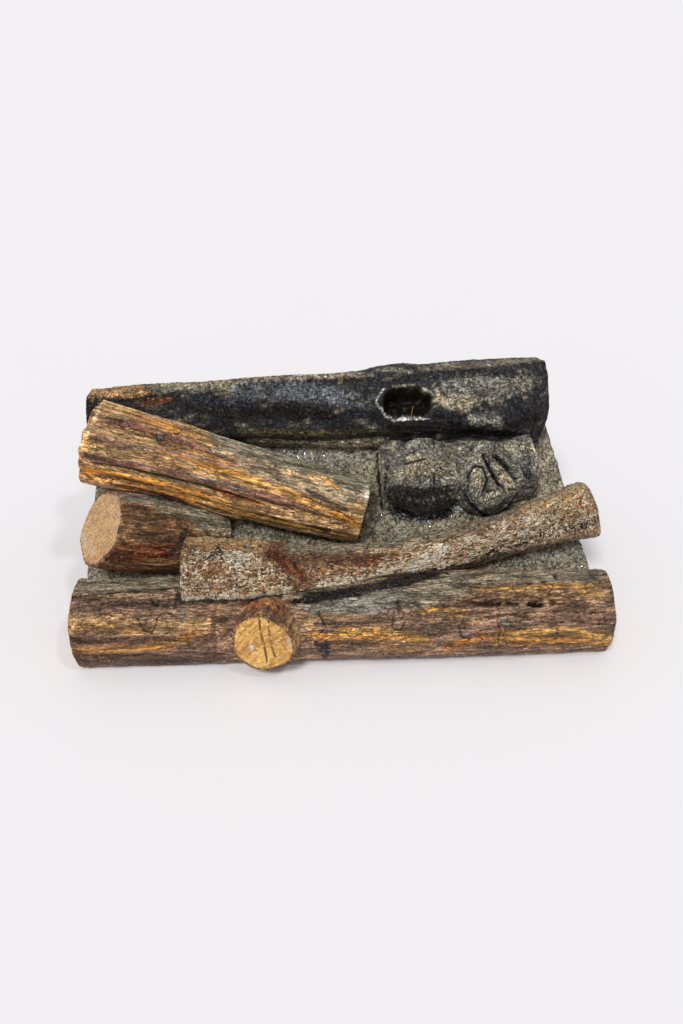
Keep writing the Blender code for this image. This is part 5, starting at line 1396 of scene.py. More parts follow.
def birch_material():
    """Birch bark: cream dabs over the rust and dust that are laid one by one, with dark grit between them.
    """
    graph, shader = new_material("birch_bark")
    place = graph.attribute("bark_place", "Vector")
    grain = use_group(graph, "log_grain", place=place)
    dabs = graph.noise(place, *NOISES["birch dabs"])
    dots = graph.noise(place, *NOISES["birch dots"])
    shade = graph.between(grain["Fibre"], 0.40, 0.60, 0.95, 1.7)
    base = graph.scale(graph.attribute("paint", "Color"), shade)
    base = graph.mix(graph.between(dots, 0.47, 0.41, 0.0, 0.85), base, DYES["birch grit"])
    wish = graph.maths("MULTIPLY_ADD", graph.attribute("cream"), 0.36, graph.maths("SUBTRACT", dabs, 0.18))
    base = graph.mix(graph.between(wish, 0.47, 0.51, 0.0, 0.85), base, DYES["birch tan"])
    base = graph.mix(graph.between(wish, 0.53, 0.60), base, DYES["birch cream"])
    base = graph.mix(graph.between(dots, 0.44, 0.39, 0.0, 0.9), base, DYES["birch dots"])
    crack = graph.maths("MULTIPLY", grain["Cracks"], 0.5)
    dust = graph.maths("SUBTRACT", graph.attribute("dust"), 0.22)
    dusted_and_shaded(
        graph, shader, place, base, 0.5, dust, DYES["birch dust"], gloss_gain=0.40, least_roughness=0.12,
        crack=(crack, DYES["birch crack"]),
    )
    graph.put(graph.bump(graph.maths("SUBTRACT", dabs, crack), BIRCH_BUMP), shader.inputs["Normal"])


def sawn_material(name, line_angle, line_cover, line, fleck, more_specks=0.0):
    """Sawn wood under its paint: parallel saw lines and a dotted grain."""
    graph, shader = new_material(name)
    turned = graph.node("ShaderNodeMapping", {"Vector": graph.attribute("bark_place", "Vector")})
    turned.inputs["Rotation"].default_value = (0, 0, line_angle)
    place = turned.outputs[0]
    lines = graph.noise(place, *NOISES["saw lines"])
    dots = graph.noise(place, *NOISES["wood dots"])
    broad = graph.noise(place, *NOISES["wood shade"])
    base = graph.attribute("paint", "Color")
    base = graph.mix(graph.between(broad, 0.42, 0.58, 0.45, 0.0), base, line)
    base = graph.mix(graph.between(lines, 0.43, 0.50, line_cover, 0.0), base, line)
    base = graph.mix(graph.between(dots, 0.55 - more_specks, 0.64 - more_specks, 0.0, 0.6), base, fleck)
    base = graph.mix(graph.between(dots, 0.43 + more_specks, 0.36 + more_specks, 0.0, 0.7), base, line)
    graph.put(base, shader.inputs["Base Color"])
    graph.put(graph.between(broad, 0.3, 0.7, 0.50, 0.68), shader.inputs["Roughness"])
    graph.put(graph.bump(graph.maths("ADD", lines, dots), WOOD_BUMP), shader.inputs["Normal"])


def ash_material():
    """The ember bed: dark resin under khaki ash, with cracks and a grit of light and dark grains."""
    graph, shader = new_material("ember_ash")
    place = graph.node("ShaderNodeTexCoord").outputs["Object"]
    broad = graph.noise(place, *NOISES["ash shade"])
    fine = graph.noise(place, *NOISES["ash crumbs"])
    grit = graph.noise(place, *NOISES["ash grit"])
    seams = graph.edges(place, *ASH_CELLS)
    base = graph.scale(graph.attribute("paint", "Color"), graph.between(broad, 0.36, 0.64, 1.15, 2.3))
    base = graph.mix(graph.between(fine, 0.40, 0.50, 0.8, 0.0), base, DYES["ash shadow"])
    base = graph.mix(graph.between(fine, 0.54, 0.64, 0.0, 0.75), base, DYES["ash crumbs"])
    base = graph.mix(graph.maths("MULTIPLY", seams, 0.6), base, DYES["ash crack"])
    base = graph.mix(graph.between(grit, 0.63, 0.69, 0.0, 0.95), base, DYES["ash grit"])
    dusted_and_shaded(
        graph, shader, place, base, 0.45, -0.5, DYES["ash dust"], gloss_gain=0.30, least_roughness=0.10
    )
    height = graph.maths("SUBTRACT", graph.maths("ADD", fine, grit), seams)
    graph.put(graph.bump(height, ASH_BUMP), shader.inputs["Normal"])


def uneven(graph, shader, cover, colour, deeper_share):
    """Gives a shader a colour that is a little deeper in patches."""
    deeper = tuple(part * deeper_share for part in colour)
    graph.put(graph.mix(cover, colour, deeper), shader.inputs["Base Color"])


def plain_finish(name, colour, roughness, metallic, speckle=0.35):
    """A fitting's finish: its colour, a little uneven, with soft wear in its gloss."""
    graph, shader = new_material(name)
    place = graph.node("ShaderNodeTexCoord").outputs["Object"]
    patch = graph.noise(place, *NOISES["metal shade"])
    rub = graph.noise(place, *NOISES["metal rub"])
    uneven(graph, shader, graph.between(patch, 0.4, 0.7, 0.0, speckle), colour, deeper_share=0.6)
    graph.put(graph.between(rub, 0.3, 0.7, roughness * 0.8, roughness * 1.25), shader.inputs["Roughness"])
    shader.inputs["Metallic"].default_value = metallic
    graph.put(graph.bump(patch, METAL_BUMP, 0.6), shader.inputs["Normal"])


def glass_finish(name, colour, roughness):
    """Lamp glass, clear or flame-coloured."""
    graph, shader = new_material(name)
    place = graph.node("ShaderNodeTexCoord").outputs["Object"]
    streaks = graph.noise(place, *NOISES["glass streaks"])
    uneven(graph, shader, graph.between(streaks, 0.3, 0.7, 0.0, 0.3), colour, deeper_share=0.7)
    shader.inputs["Roughness"].default_value = roughness
    shader.inputs["Transmission Weight"].default_value = 1.0
    shader.inputs["IOR"].default_value = 1.5


# Relief

def bark_relief(roll, depth):
    """Ridges and fibres along a log, and how high each place stands, for painted shade in hollows and light
    on crests.
    """
    crest = ridged(roll.grain(RIDGE_WIDTH, RIDGE_RUN, WANDER, seed=1), 3, seed=1)
    fibre = ridged(roll.grain(FIBRE_WIDTH, FIBRE_RUN, WANDER, seed=5), 2, seed=5)
    grit = layered(roll.straight / BARK_GRIT, 2, seed=8)
    height = (1 - GRIT_SHARE - FIBRE_SHARE) * crest + FIBRE_SHARE * fibre + GRIT_SHARE * (grit * 0.5 + 0.5)
    roll.rise = roll.rise + (height - MEAN_HEIGHT_SHARE) * depth * roll.side
    roll.relief_shade = np.where(roll.side, smoothstep(0.2, 0.7, height), 0.5)
    band = noise(roll.grain(BAND_WIDTH, BAND_RUN, WANDER, seed=61))
    roll.wash("tan", smoothstep(0.15, 0.5, band) * 0.5 * roll.side)
    roll.wash("brown", smoothstep(0.10, 0.5, -band) * 0.6 * roll.side)


def char_relief(roll, depth, cell):
    """Lumps split by cracks, as on burnt wood, and a share for painted shade in the cracks and light on the
    lumps.
    """
    lumps = layered(roll.straight / LUMP_SIZE, 3, seed=51)
    sway = np.column_stack([noise(roll.straight / CELL_WARP_SIZE, seed=55 + k) for k in range(3)])
    warped = roll.straight + CELL_WARP * sway
    crack = np.abs(noise(warped / np.array((cell, cell, cell * CELL_STRETCH)), seed=59))
    split = smoothstep(CRACK_SHARE, 0.0, crack)
    fine = layered(roll.straight / BURNT_GRIT, 3, seed=61)
    roll.rise = roll.rise + (lumps * depth + fine * BURNT_GRIT_DEPTH - split * CRACK_DEPTH) * roll.side
    standing = np.clip(0.5 + lumps * 0.35 + fine * 0.3 - split * 0.5, 0, 1)
    roll.relief_shade = np.where(roll.side, standing, 0.5)
    blotch = layered(roll.straight / BURNT_BLOTCH, 3, seed=65)
    roll.wash("dusty", smoothstep(0.15, 0.9, blotch) * 0.55)
    roll.wash("char", smoothstep(0.10, 0.8, -blotch) * 0.7)


def saw_marks(roll, depth=SAW_DEPTH):
    """The shallow waves of a saw cut on a log's ends."""
    flat = roll.straight * np.array((1, 1, 0))
    return layered(flat / SAW_WAVE, 2, seed=3) * depth * np.minimum(roll.cap * SAW_RIM_GAIN, 1)


# The logs

def make_brown_log(
    name, depth, strokes, ground, brightness=1.0, grain_scale=(1, 1, 1), face_finish="pale_saw_cut",
    face_strokes=(), face_ground="fresh wood",
):
    """A brown log with its sawn ends."""
    roll = Roll(name, ground)
    roll.grain_scale = np.array(grain_scale)
    bark_relief(roll, depth)
    roll.lay(strokes)
    roll.paint = roll.paint * brightness
    roll.wash(face_ground, ~roll.side * 1.0)
    roll.lay(face_strokes, ~roll.side)
    roll.finish(face_finish, "brown_bark", saw_marks(roll))


# The birch's relief: dabs along the grain, and lumps under them
DAB_WIDTH = 0.0045
DAB_RUN = 0.008
DAB_WANDER = 0.004
DAB_DEPTH = 0.0008
BIRCH_LUMP = 0.016
BIRCH_LUMP_DEPTH = 0.0013
BIRCH_BLOTCH = 0.02
# How creamy the birch is in general, how that varies and in patches of what size
CREAM_SHARE = 0.52
CREAM_SWING = 0.24
CREAM_PATCH = 0.012
# Where it is creamier or barer: by how much, the path in the picture's pixels, and its half width
TOP_HAZE = (((188, 538), (268, 546), (340, 547), (400, 541), (470, 525), (520, 503)), 9)
RED_HAZE = (((270, 551), (284, 560), (296, 572), (302, 582)), 8.5)
CREAM_HAZES = (
    (0.26, ((188, 599), (250, 598), (300, 591), (340, 583), (400, 570), (440, 559)), 6),
    (0.35, ((232, 556), (262, 556)), 11),
    (0.16, ((425, 556), (480, 541), (540, 519)), 13),
    (-0.45, *TOP_HAZE),
    (-0.90, *RED_HAZE),
    (-0.30, ((304, 558), (372, 558)), 9),
)
TOP_DUST = 0.21


def make_birch_log():
    """The birch log, with its cream row, its red-brown knot and its dusty top."""
    roll = Roll("birch_log", "brown")
    dabs = layered(roll.grain(DAB_WIDTH, DAB_RUN, DAB_WANDER, seed=31), 3, seed=31)
    rough = layered(roll.straight / BIRCH_LUMP, 3, seed=35)
    roll.rise = (dabs * DAB_DEPTH + rough * BIRCH_LUMP_DEPTH) * roll.side
    roll.relief_shade = np.clip(dabs * 0.5 + 0.5, 0, 1)
    blotch = layered(roll.straight / BIRCH_BLOTCH, 2, seed=37)
    roll.wash("tan", smoothstep(0.0, 0.6, blotch) * 0.6)
    roll.wash("rust", smoothstep(0.10, 0.7, -blotch) * 0.8)
    roll.lay(BIRCH_STROKES)
    cream = CREAM_SHARE + CREAM_SWING * layered(roll.straight / CREAM_PATCH, 2, seed=39)
    for gain, path, width in CREAM_HAZES:
        cream = cream + gain * roll.haze(path, width)
    store(roll.obj.data, "cream", cream)
    store(roll.obj.data, "dust", TOP_DUST * roll.haze(*TOP_HAZE) * (1 - roll.haze(*RED_HAZE)))
    roll.wash("pale tan", ~roll.side * 1.0)
    roll.finish("pale_saw_cut", "birch_bark", saw_marks(roll))


def hole_mask(roll):
    """One inside the burnt hole's ragged outline, falling to nothing outside it."""
    across = (roll.view[:, 0] - HOLE_CENTRE[0]) / HOLE_HALF_WIDTH
    down = (roll.view[:, 1] - HOLE_CENTRE[1]) / HOLE_HALF_HEIGHT
    power = HOLE_SQUARENESS
    distance = (np.abs(across) ** power + np.abs(down) ** power) ** (1 / power)
    distance = distance + (roll.patches * 0.3 + roll.edge_noise * 0.2) * HOLE_RAGGED
    return smoothstep(HOLE_OUTER_SHARE, HOLE_INNER_SHARE, distance) * (roll.faces_front > 0.5) * roll.side


def make_back_log():
    """The burnt back log with its hole, which is olive inside and darkened with painted shade."""
    roll = Roll("back_log", "char")
    roll.burn()
    char_relief(roll, BACK_DEPTH, BACK_CELL)
    roll.lay(BACK_STROKES)
    hole = hole_mask(roll)
    roll.lay(LIP_STROKES)
    inside = layered(roll.straight / HOLE_LUMP, 3, seed=81)
    roll.rise = roll.rise * (1 - hole) + (inside * HOLE_LUMP_DEPTH - HOLE_DEPTH) * hole
    deep = smoothstep(0.0, 0.10, hole)
    roll.wash("olive", deep * 0.95)
    # Painted shade in the hole: black in its hollows, and a share stored for the finish to darken it
    # further
    roll.wash("soot", deep * smoothstep(0.35, -0.05, inside) * 0.9)
    roll.relief_shade = roll.relief_shade * (1 - deep) + 0.4 * deep
    roll.hole_shade = deep * (1 - 0.6 * smoothstep(-0.1, 0.5, inside) * smoothstep(0.9, 1.0, hole))
    roll.wash("char", ~roll.side * 1.0)
    roll.finish("charred_bark", "charred_bark", saw_marks(roll, BACK_END_DEPTH))
    make_hole_wire(roll)


def make_hole_wire(roll):
    """A fine tan wire that stands in the burnt hole."""
    apart = np.linalg.norm(roll.view - np.array(WIRE_PLACE), axis=1)
    nearest = np.argmin(np.where(roll.faces_front < 0.5, np.inf, apart))
    foot = roll.plain[nearest] - roll.out[nearest] * WIRE_SUNK
    bpy.ops.object.select_all(action="DESELECT")
    bpy.ops.mesh.primitive_cylinder_add(
        vertices=WIRE_SIDES, radius=WIRE_RADIUS, depth=WIRE_HEIGHT, location=tuple(foot),
        rotation=(0, WIRE_TILT, 0),
    )
    wire = just_added("hole_wire")
    bpy.ops.object.transform_apply(location=True, rotation=True, scale=True)
    wire.data.materials.append(bpy.data.materials["old_wire"])
    dress(wire, "shell", slot="bark_charred")


def make_charred_log():
    """The charred log that the two knots grow from, under the same strokes as they are."""
    roll = Roll("charred_log", "grey")
    roll.burn()
    char_relief(roll, CHARRED_DEPTH, CHARRED_CELL)
    roll.lay(CHARRED_STROKES + LEFT_KNOT_STROKES + RIGHT_KNOT_STROKES)
    roll.wash("khaki", ~roll.side * 0.9)
    roll.finish("charred_bark", "charred_bark", saw_marks(roll, CHARRED_END_DEPTH))


def make_knot(name, strokes, depth):
    """A burnt knot that stands on the bed, carved on its crown as well as round it."""
    roll = Roll(name, "grey", KNOT_CAP_RINGS)
    roll.burn()
    char_relief(roll, depth, KNOT_CELL)
    crown = roll.at_end
    lumps = layered(roll.straight / CROWN_LUMP, 3, seed=91)
    fine = layered(roll.straight / BURNT_GRIT, 3, seed=95)
    dome = KNOT_DOMES[name] * (1 - (1 - roll.cap) ** 2) + lumps * CROWN_LUMP_DEPTH + fine * CROWN_GRIT_DEPTH
    roll.rise = np.where(crown, dome, roll.rise)
    roll.relief_shade = np.where(crown, np.clip(0.5 + lumps * 0.3 + fine * 0.3, 0, 1), roll.relief_shade)
    roll.view = seen_from_front(roll.shape(roll.rise))
    roll.lay(strokes, roll.side | crown)
    roll.finish("charred_bark", "charred_bark")


# The ember bed: the space between its vertices, its cheeks, and the lip of its toe
BED_PITCH = 0.0026
CHEEK_ROWS = 24
TOE_LIP = 0.002
# Its relief: lumps, crumbs and grit, and the ash that is heaped against the logs
BED_LUMP = 0.030
BED_LUMP_DEPTH = 0.0034
BED_LUMP_FLOOR = -0.3
BED_CRUMB = 0.010
BED_CRUMB_DEPTH = 0.0024
BED_GRIT = 0.0065
BED_GRIT_DEPTH = 0.0008
FILLET_REACH = 0.014
SIDE_MARGIN = 0.012
REAR_MARGIN = 0.010
CHEEK_LUMP_DEPTH = 0.002
CHEEK_CRUMB_DEPTH = 0.0016
# Its paint: blotches, the ragged edges of strokes, and painted shade beside and under the logs
BED_BLOTCH = 0.022
BED_RAGGED = 0.005
BED_RAGGED_SHARE = 0.3
BED_SHADE_REACH = 0.0045
BED_SHADE_RAGGED = 0.003
BED_OUTER_SHARE = 1.2
BED_INNER_SHARE = 0.5


class BedSheet:
    """One sheet folded over the bed: up the left cheek, across, and down the right cheek."""

    def __init__(self):
        section = [
            (BED_FRONT, 0.0), (BED_FRONT, TOE_TOP), (SLOPE_FOOT - TOE_LIP, TOE_TOP),
            (SLOPE_FOOT + SLOPE_RUN, BED_TOP), (BED_REAR, BED_TOP),
        ]
        runs = [math.dist(a, b) for a, b in zip(section, section[1:])]
        total = sum(runs)
        rows = round(total / BED_PITCH)
        columns = round(2 * HALF_WIDTH / BED_PITCH) + 2 * CHEEK_ROWS
        bpy.ops.object.select_all(action="DESELECT")
        bpy.ops.mesh.primitive_grid_add(x_subdivisions=columns, y_subdivisions=rows, size=1)
        self.obj = just_added("ember_bed_skin")
        flat = places_of(self.obj.data)
        column = (flat[:, 0] + 0.5) * columns
        distance = (flat[:, 1] + 0.5) * total
        marks = np.concatenate(((0,), np.cumsum(runs)))
        y = np.interp(distance, marks, [place[0] for place in section])
        z = np.interp(distance, marks, [place[1] for place in section])
        toe = np.interp(y, (BED_FRONT, BED_SHOULDER), (0, 1))
        left = -(TOE_HALF_WIDTH + (HALF_WIDTH - TOE_HALF_WIDTH) * toe)
        right = np.where(y < BED_SHOULDER, -left, right_edge(y))
        across = np.clip((column - CHEEK_ROWS) / (columns - 2 * CHEEK_ROWS), 0, 1)
        down = np.clip(np.maximum(1 - column / CHEEK_ROWS, 1 - (columns - column) / CHEEK_ROWS), 0, 1)
        self.points = np.stack((left + (right - left) * across, y, z * (1 - down)), axis=1)
        on_slope = (distance > marks[2]) & (distance < marks[3])
        self.normal = np.where(on_slope[:, None], SLOPE_NORMAL, np.array((0, 0, 1.0)))
        self.on_top = (down < SIDE_SHARE) & (distance > marks[1])
        self.on_cheek = (down > 0) & (down < 1)
        inward = np.minimum(self.points[:, 0] - left, right - self.points[:, 0])
        self.edge = smoothstep(0, SIDE_MARGIN, inward)
        self.edge *= smoothstep(0, REAR_MARGIN, BED_REAR - y)
        self.gap = gap_to_logs(self.points)
        self.grit = layered(self.points / BED_GRIT, 2, seed=75)

    def carve(self):
        """Lumps, crumbs and grit on top, a fillet of ash round the logs, and rough cheeks."""
        lumps = layered(self.points / BED_LUMP, 4, seed=71)
        crumbs = layered(self.points / BED_CRUMB, 3, seed=73)
        fillet = np.clip(FILLET_REACH - self.gap, 0, FILLET_REACH) ** 2 / (2 * FILLET_REACH)
        rise = np.maximum(lumps, BED_LUMP_FLOOR) * BED_LUMP_DEPTH + crumbs * BED_CRUMB_DEPTH
        rise = (rise + self.grit * BED_GRIT_DEPTH + fillet) * self.on_top
        self.points = self.points + self.normal * (rise * self.edge)[:, None]
        bulge = (lumps * CHEEK_LUMP_DEPTH + crumbs * CHEEK_CRUMB_DEPTH) * np.sign(self.points[:, 0])
        self.points[:, 0] += np.where(self.on_cheek, bulge, 0)

    def colour(self):
        """Blotches of grey and olive, then the strokes, which carve as they paint."""
        view = seen_from_front(self.points)
        paint = np.tile(np.array(POTS["khaki"]), (len(self.points), 1))
        gloss = np.zeros(len(self.points))
        blotch = layered(self.points / BED_BLOTCH, 3, seed=77)
        paint = painted_over(paint, "grey", smoothstep(0.0, 0.7, blotch) * 0.7)
        paint = painted_over(paint, "olive", smoothstep(0.1, 0.8, -blotch) * 0.7)
        ragged = layered(self.points / BED_RAGGED, 2, seed=79) * BED_RAGGED_SHARE
        for stroke in BED_STROKES:
            apart = distance_to_path(view, stroke.path)[0] / stroke.width + ragged
            mask = smoothstep(BED_OUTER_SHARE, BED_INNER_SHARE, apart) * self.on_top
            self.points = self.points + self.normal * (mask * stroke.rise)[:, None]
            paint = painted_over(paint, stroke.pot, mask * stroke.cover)
            gloss = gloss * (1 - mask) + mask * stroke.gloss
        mesh = self.obj.data
        # Painted shade on the bed beside and under the logs
        soot = smoothstep(BED_SHADE_REACH, SHADE_BLACK, self.gap + self.grit * BED_SHADE_RAGGED)
        store(mesh, "soot", soot * self.on_top)
        store(mesh, "gloss", gloss)
        store_colour(mesh, "paint", paint)
        mesh.materials.append(bpy.data.materials["ember_ash"])

    def finish(self):
        """Closes the sheet and gives it the wall's thickness, with nothing under the floor.

        The underside follows the lumps and fillets of the top, so logs' undersides show from below.
        """
        mesh = self.obj.data
        self.points[:, 2] = np.maximum(self.points[:, 2], 0)
        mesh.vertices.foreach_set("co", self.points.ravel())
        close_up(self.obj)
        thick = self.obj.modifiers.new("wall", "SOLIDIFY")
        thick.thickness = BED_WALL
        thick.offset = -1
        bpy.ops.object.modifier_apply(modifier=thick.name)
        settled = places_of(mesh)
        settled[:, 2] = np.maximum(settled[:, 2], 0)
        mesh.vertices.foreach_set("co", settled.ravel())
        dress(self.obj, "shell", "ember_bed")


# Glitter: patches in the picture's pixels, with how far each spreads and how many grains lie there
GLITTER_PATCHES = (
    ((300, 456), (40, 8), 240), ((345, 455), (40, 8), 140), ((400, 524), (40, 9), 90),
    ((456, 510), (9, 4), 40), ((420, 516), (30, 6), 50), ((375, 515), (8, 12), 40),
    ((250, 528), (50, 7), 80), ((216, 524), (20, 8), 40), ((520, 560), (60, 12), 60),
    ((130, 572), (45, 6), 30), ((570, 545), (14, 12), 24),
)
GLITTER_SPREAD = 0.6
GLITTER_SEED = 7
# How deep in a log's foot a grain may lie, a grain's size, the smallest and largest, and how flat it is
GRAIN_SUNK = 0.002
GRAIN_SIZE = 0.0013
GRAIN_SIZES = (0.5, 1.1)
GRAIN_FLATNESS = np.array((1, 0.8, 0.6))


def make_glitter():
    """Grains of glitter scattered on the bed, one mesh of small faceted beads."""
    rng = np.random.default_rng(GLITTER_SEED)
    places = []
    right, up, back = camera_axes()
    eye = np.array(CAMERA_TARGET) + back * CAMERA_DISTANCE
    bed = bpy.data.objects["ember_bed_skin"]
    for centre, spread, count in GLITTER_PATCHES:
        for _ in range(count):
            pixel = np.array(centre) + rng.normal(size=2) * np.array(spread) * GLITTER_SPREAD
            across = (pixel[0] - PICTURE_WIDTH / 2 - FRAME_SHIFT_PIXELS) / FOCAL_PIXELS
            over = (PICTURE_HEIGHT / 2 - pixel[1]) / FOCAL_PIXELS
            ray = right * across + up * over - back
            hit, place, _, _ = bed.ray_cast(Vector(eye), Vector(ray))
            if hit:
                places.append(np.array(place))
    places = np.array(places)
    places = places[gap_to_logs(places) > -GRAIN_SUNK]
    bpy.ops.object.select_all(action="DESELECT")
    bpy.ops.mesh.primitive_ico_sphere_add(subdivisions=1, radius=1)
    obj = just_added("ember_glitter")
    bead = np.array([vert.co[:] for vert in obj.data.vertices])
    faces = [tuple(face.vertices) for face in obj.data.polygons]
    verts, polygons = [], []
    for place in places:
        size = GRAIN_SIZE * rng.uniform(*GRAIN_SIZES)
        turn = np.linalg.qr(rng.normal(size=(3, 3)))[0]
        turn = turn * np.sign(np.linalg.det(turn))
        start = len(verts) * len(bead)
        verts.append(place + (bead * GRAIN_FLATNESS @ turn) * size)
        polygons.extend(tuple(index + start for index in face) for face in faces)
    mesh = bpy.data.meshes.new("ember_glitter")
    mesh.from_pydata(np.concatenate(verts).tolist(), [], polygons)
    mesh.update()
    obj.data = mesh
    mesh.materials.append(bpy.data.materials["glitter"])
    dress(obj, "shell", slot="ash_bed")


# The lamp tray and what it carries: colour, roughness and how metallic it is
FITTINGS = {
    "tray_steel": ((0.30, 0.31, 0.32), 0.45, 0.9),
    "spring_steel": ((0.55, 0.56, 0.58), 0.30, 1.0),
    "spinner_aluminium": ((0.80, 0.81, 0.82), 0.25, 1.0),
    "porcelain": ((0.82, 0.80, 0.74), 0.35, 0.0),
    "brass": ((0.72, 0.54, 0.24), 0.30, 1.0),
    "filament_wire": ((0.25, 0.25, 0.27), 0.50, 1.0),
    "rubber": ((0.03, 0.03, 0.03), 0.70, 0.0),
    "black_plastic": ((0.04, 0.04, 0.04), 0.45, 0.0),
    "lead_sleeve": ((0.45, 0.10, 0.06), 0.55, 0.0),
}
# The lamps' glass: colour and roughness
GLASSES = {
    "amber_glass": ((0.85, 0.32, 0.05), 0.10),
    "clear_glass": ((0.85, 0.88, 0.88), 0.04),
}


def finish_fittings():
    """Mixes the fittings' finishes and gives each fitting the one that its slot names."""
    for name, (colour, roughness, metallic) in FITTINGS.items():
        plain_finish(name + "_finish", colour, roughness, metallic)
    for name, (colour, roughness) in GLASSES.items():
        glass_finish(name + "_finish", colour, roughness)
    for row in frame["record"]["subparts"]:
        finish = bpy.data.materials.get(row["material_slot"] + "_finish")
        if finish:
            mesh = frame["nodes"][row["node"]].data
            mesh.materials.clear()
            mesh.materials.append(finish)


# The stage: the floor's size, how its paper varies, the light all round, and the lamps, each with how wide
# it looks and how it is turned, in degrees
FLOOR_SIZE = 60
PAPER_SWING = 1.01
PAPER_ROUGHNESS = 0.9
SKY_COLOUR = (0.97, 0.97, 1.0, 1)
LAMPS = {
    "key_lamp": (14, (34, -16, 0)),
    "glint_lamp": (5, (18, 26, 0)),
}


def make_camera():
    """The camera at the picture's viewing angle."""
    right, up, back = camera_axes()
    place = np.array(CAMERA_TARGET) + back * CAMERA_DISTANCE
    data = bpy.data.cameras.new("camera")
    camera = bpy.data.objects.new("camera", data)
    bpy.context.scene.collection.objects.link(camera)
    rows = [(right[k], up[k], back[k], place[k]) for k in range(3)]
    camera.matrix_world = Matrix((*rows, (0, 0, 0, 1)))
    data.sensor_fit = "AUTO"
    data.lens = data.sensor_width * FOCAL_PIXELS / PICTURE_HEIGHT
    data.shift_x = -FRAME_SHIFT_PIXELS / PICTURE_HEIGHT
    bpy.context.scene.camera = camera


def make_floor(look):
    """A plain paper floor."""
    bpy.ops.object.select_all(action="DESELECT")
    bpy.ops.mesh.primitive_plane_add(size=FLOOR_SIZE)
    floor = just_added("floor")
    graph, shader = new_material("floor_paper")
    tone = graph.noise(graph.node("ShaderNodeTexCoord").outputs["Object"], *NOISES["paper shade"])
    uneven(graph, shader, tone, tuple(look.floor_colour), deeper_share=PAPER_SWING)
    shader.inputs["Roughness"].default_value = PAPER_ROUGHNESS
    shader.inputs["Specular IOR Level"].default_value = 0.0
    floor.data.materials.append(bpy.data.materials["floor_paper"])


def make_stage(look):
    """Floor, soft light and camera."""
    scene = bpy.context.scene
    scene.view_settings.view_transform = "Standard"
    make_floor(look)
    world = bpy.data.worlds.new("soft_room")
    world.use_nodes = True
    sky = world.node_tree.nodes["Background"]
    sky.inputs["Color"].default_value = SKY_COLOUR
    sky.inputs["Strength"].default_value = look.sky
    scene.world = world
    powers = {"key_lamp": look.key, "glint_lamp": look.glint}
    for name, (width, turn) in LAMPS.items():
        lamp = bpy.data.lights.new(name, "SUN")
        lamp.energy = powers[name]
        lamp.angle = math.radians(width)
        obj = bpy.data.objects.new(name, lamp)
        obj.rotation_euler = [math.radians(part) for part in turn]
        scene.collection.objects.link(obj)
    make_camera()


# The add-on

class BarkSettings(bpy.types.PropertyGroup):
    """Depths and finishes of the barks."""

    bark_depth: FloatProperty(
        name="Bark Depth", description="How deep the ridges of the front log are carved", default=0.0042,
        min=0.0, max=0.008, unit="LENGTH",
    )
    split_depth: FloatProperty(
        name="Split Depth", description="How deep the fibres of the split log are carved", default=0.0030,
        min=0.0, max=0.008, unit="LENGTH",
    )
    short_depth: FloatProperty(
        name="Short Log Depth", description="How deep the short log is carved", default=0.0032,
        min=0.0, max=0.008, unit="LENGTH",
    )
    branch_depth: FloatProperty(
        name="Branch Depth", description="How deep the branch stub's bark is carved", default=0.0012,
        min=0.0, max=0.008, unit="LENGTH",
    )
    knot_depth: FloatProperty(
        name="Knot Depth", description="How lumpy the burnt knots are", default=0.0026,
        min=0.0, max=0.008, unit="LENGTH",
    )
    bark_dust: FloatVectorProperty(
        name="Bark Dust", description="Colour of the dust on the brown logs", subtype="COLOR",
        default=srgb(150, 138, 114), min=0.0, max=1.0,
    )
    char_dust: FloatVectorProperty(
        name="Char Dust", description="Colour of the dust on the burnt logs", subtype="COLOR",
        default=srgb(142, 137, 118), min=0.0, max=1.0,
    )
    roughness: FloatProperty(
        name="Bark Roughness", description="How dull the painted bark is", default=0.50,
        min=0.1, max=1.0, subtype="FACTOR",
    )


class StageSettings(bpy.types.PropertyGroup):
    """Floor and lights."""

    floor_colour: FloatVectorProperty(
        name="Floor Colour", description="Colour of the paper floor", subtype="COLOR",
        default=(0.86, 0.842, 0.85), min=0.0, max=1.0,
    )
    sky: FloatProperty(name="Sky", description="Strength of the light all round", default=0.50, min=0.0)
    key: FloatProperty(name="Key", description="Strength of the main lamp", default=1.75, min=0.0)
    glint: FloatProperty(name="Glint", description="Strength of the small lamp", default=0.40, min=0.0)


class LOGSET_OT_stage(bpy.types.Operator):
    """Lay the floor, hang the lamps and set up the camera"""

    bl_idname = "logset.stage"
    bl_label = "Stage"

    def execute(self, context):
        make_stage(context.scene.logset_stage)
        return {"FINISHED"}


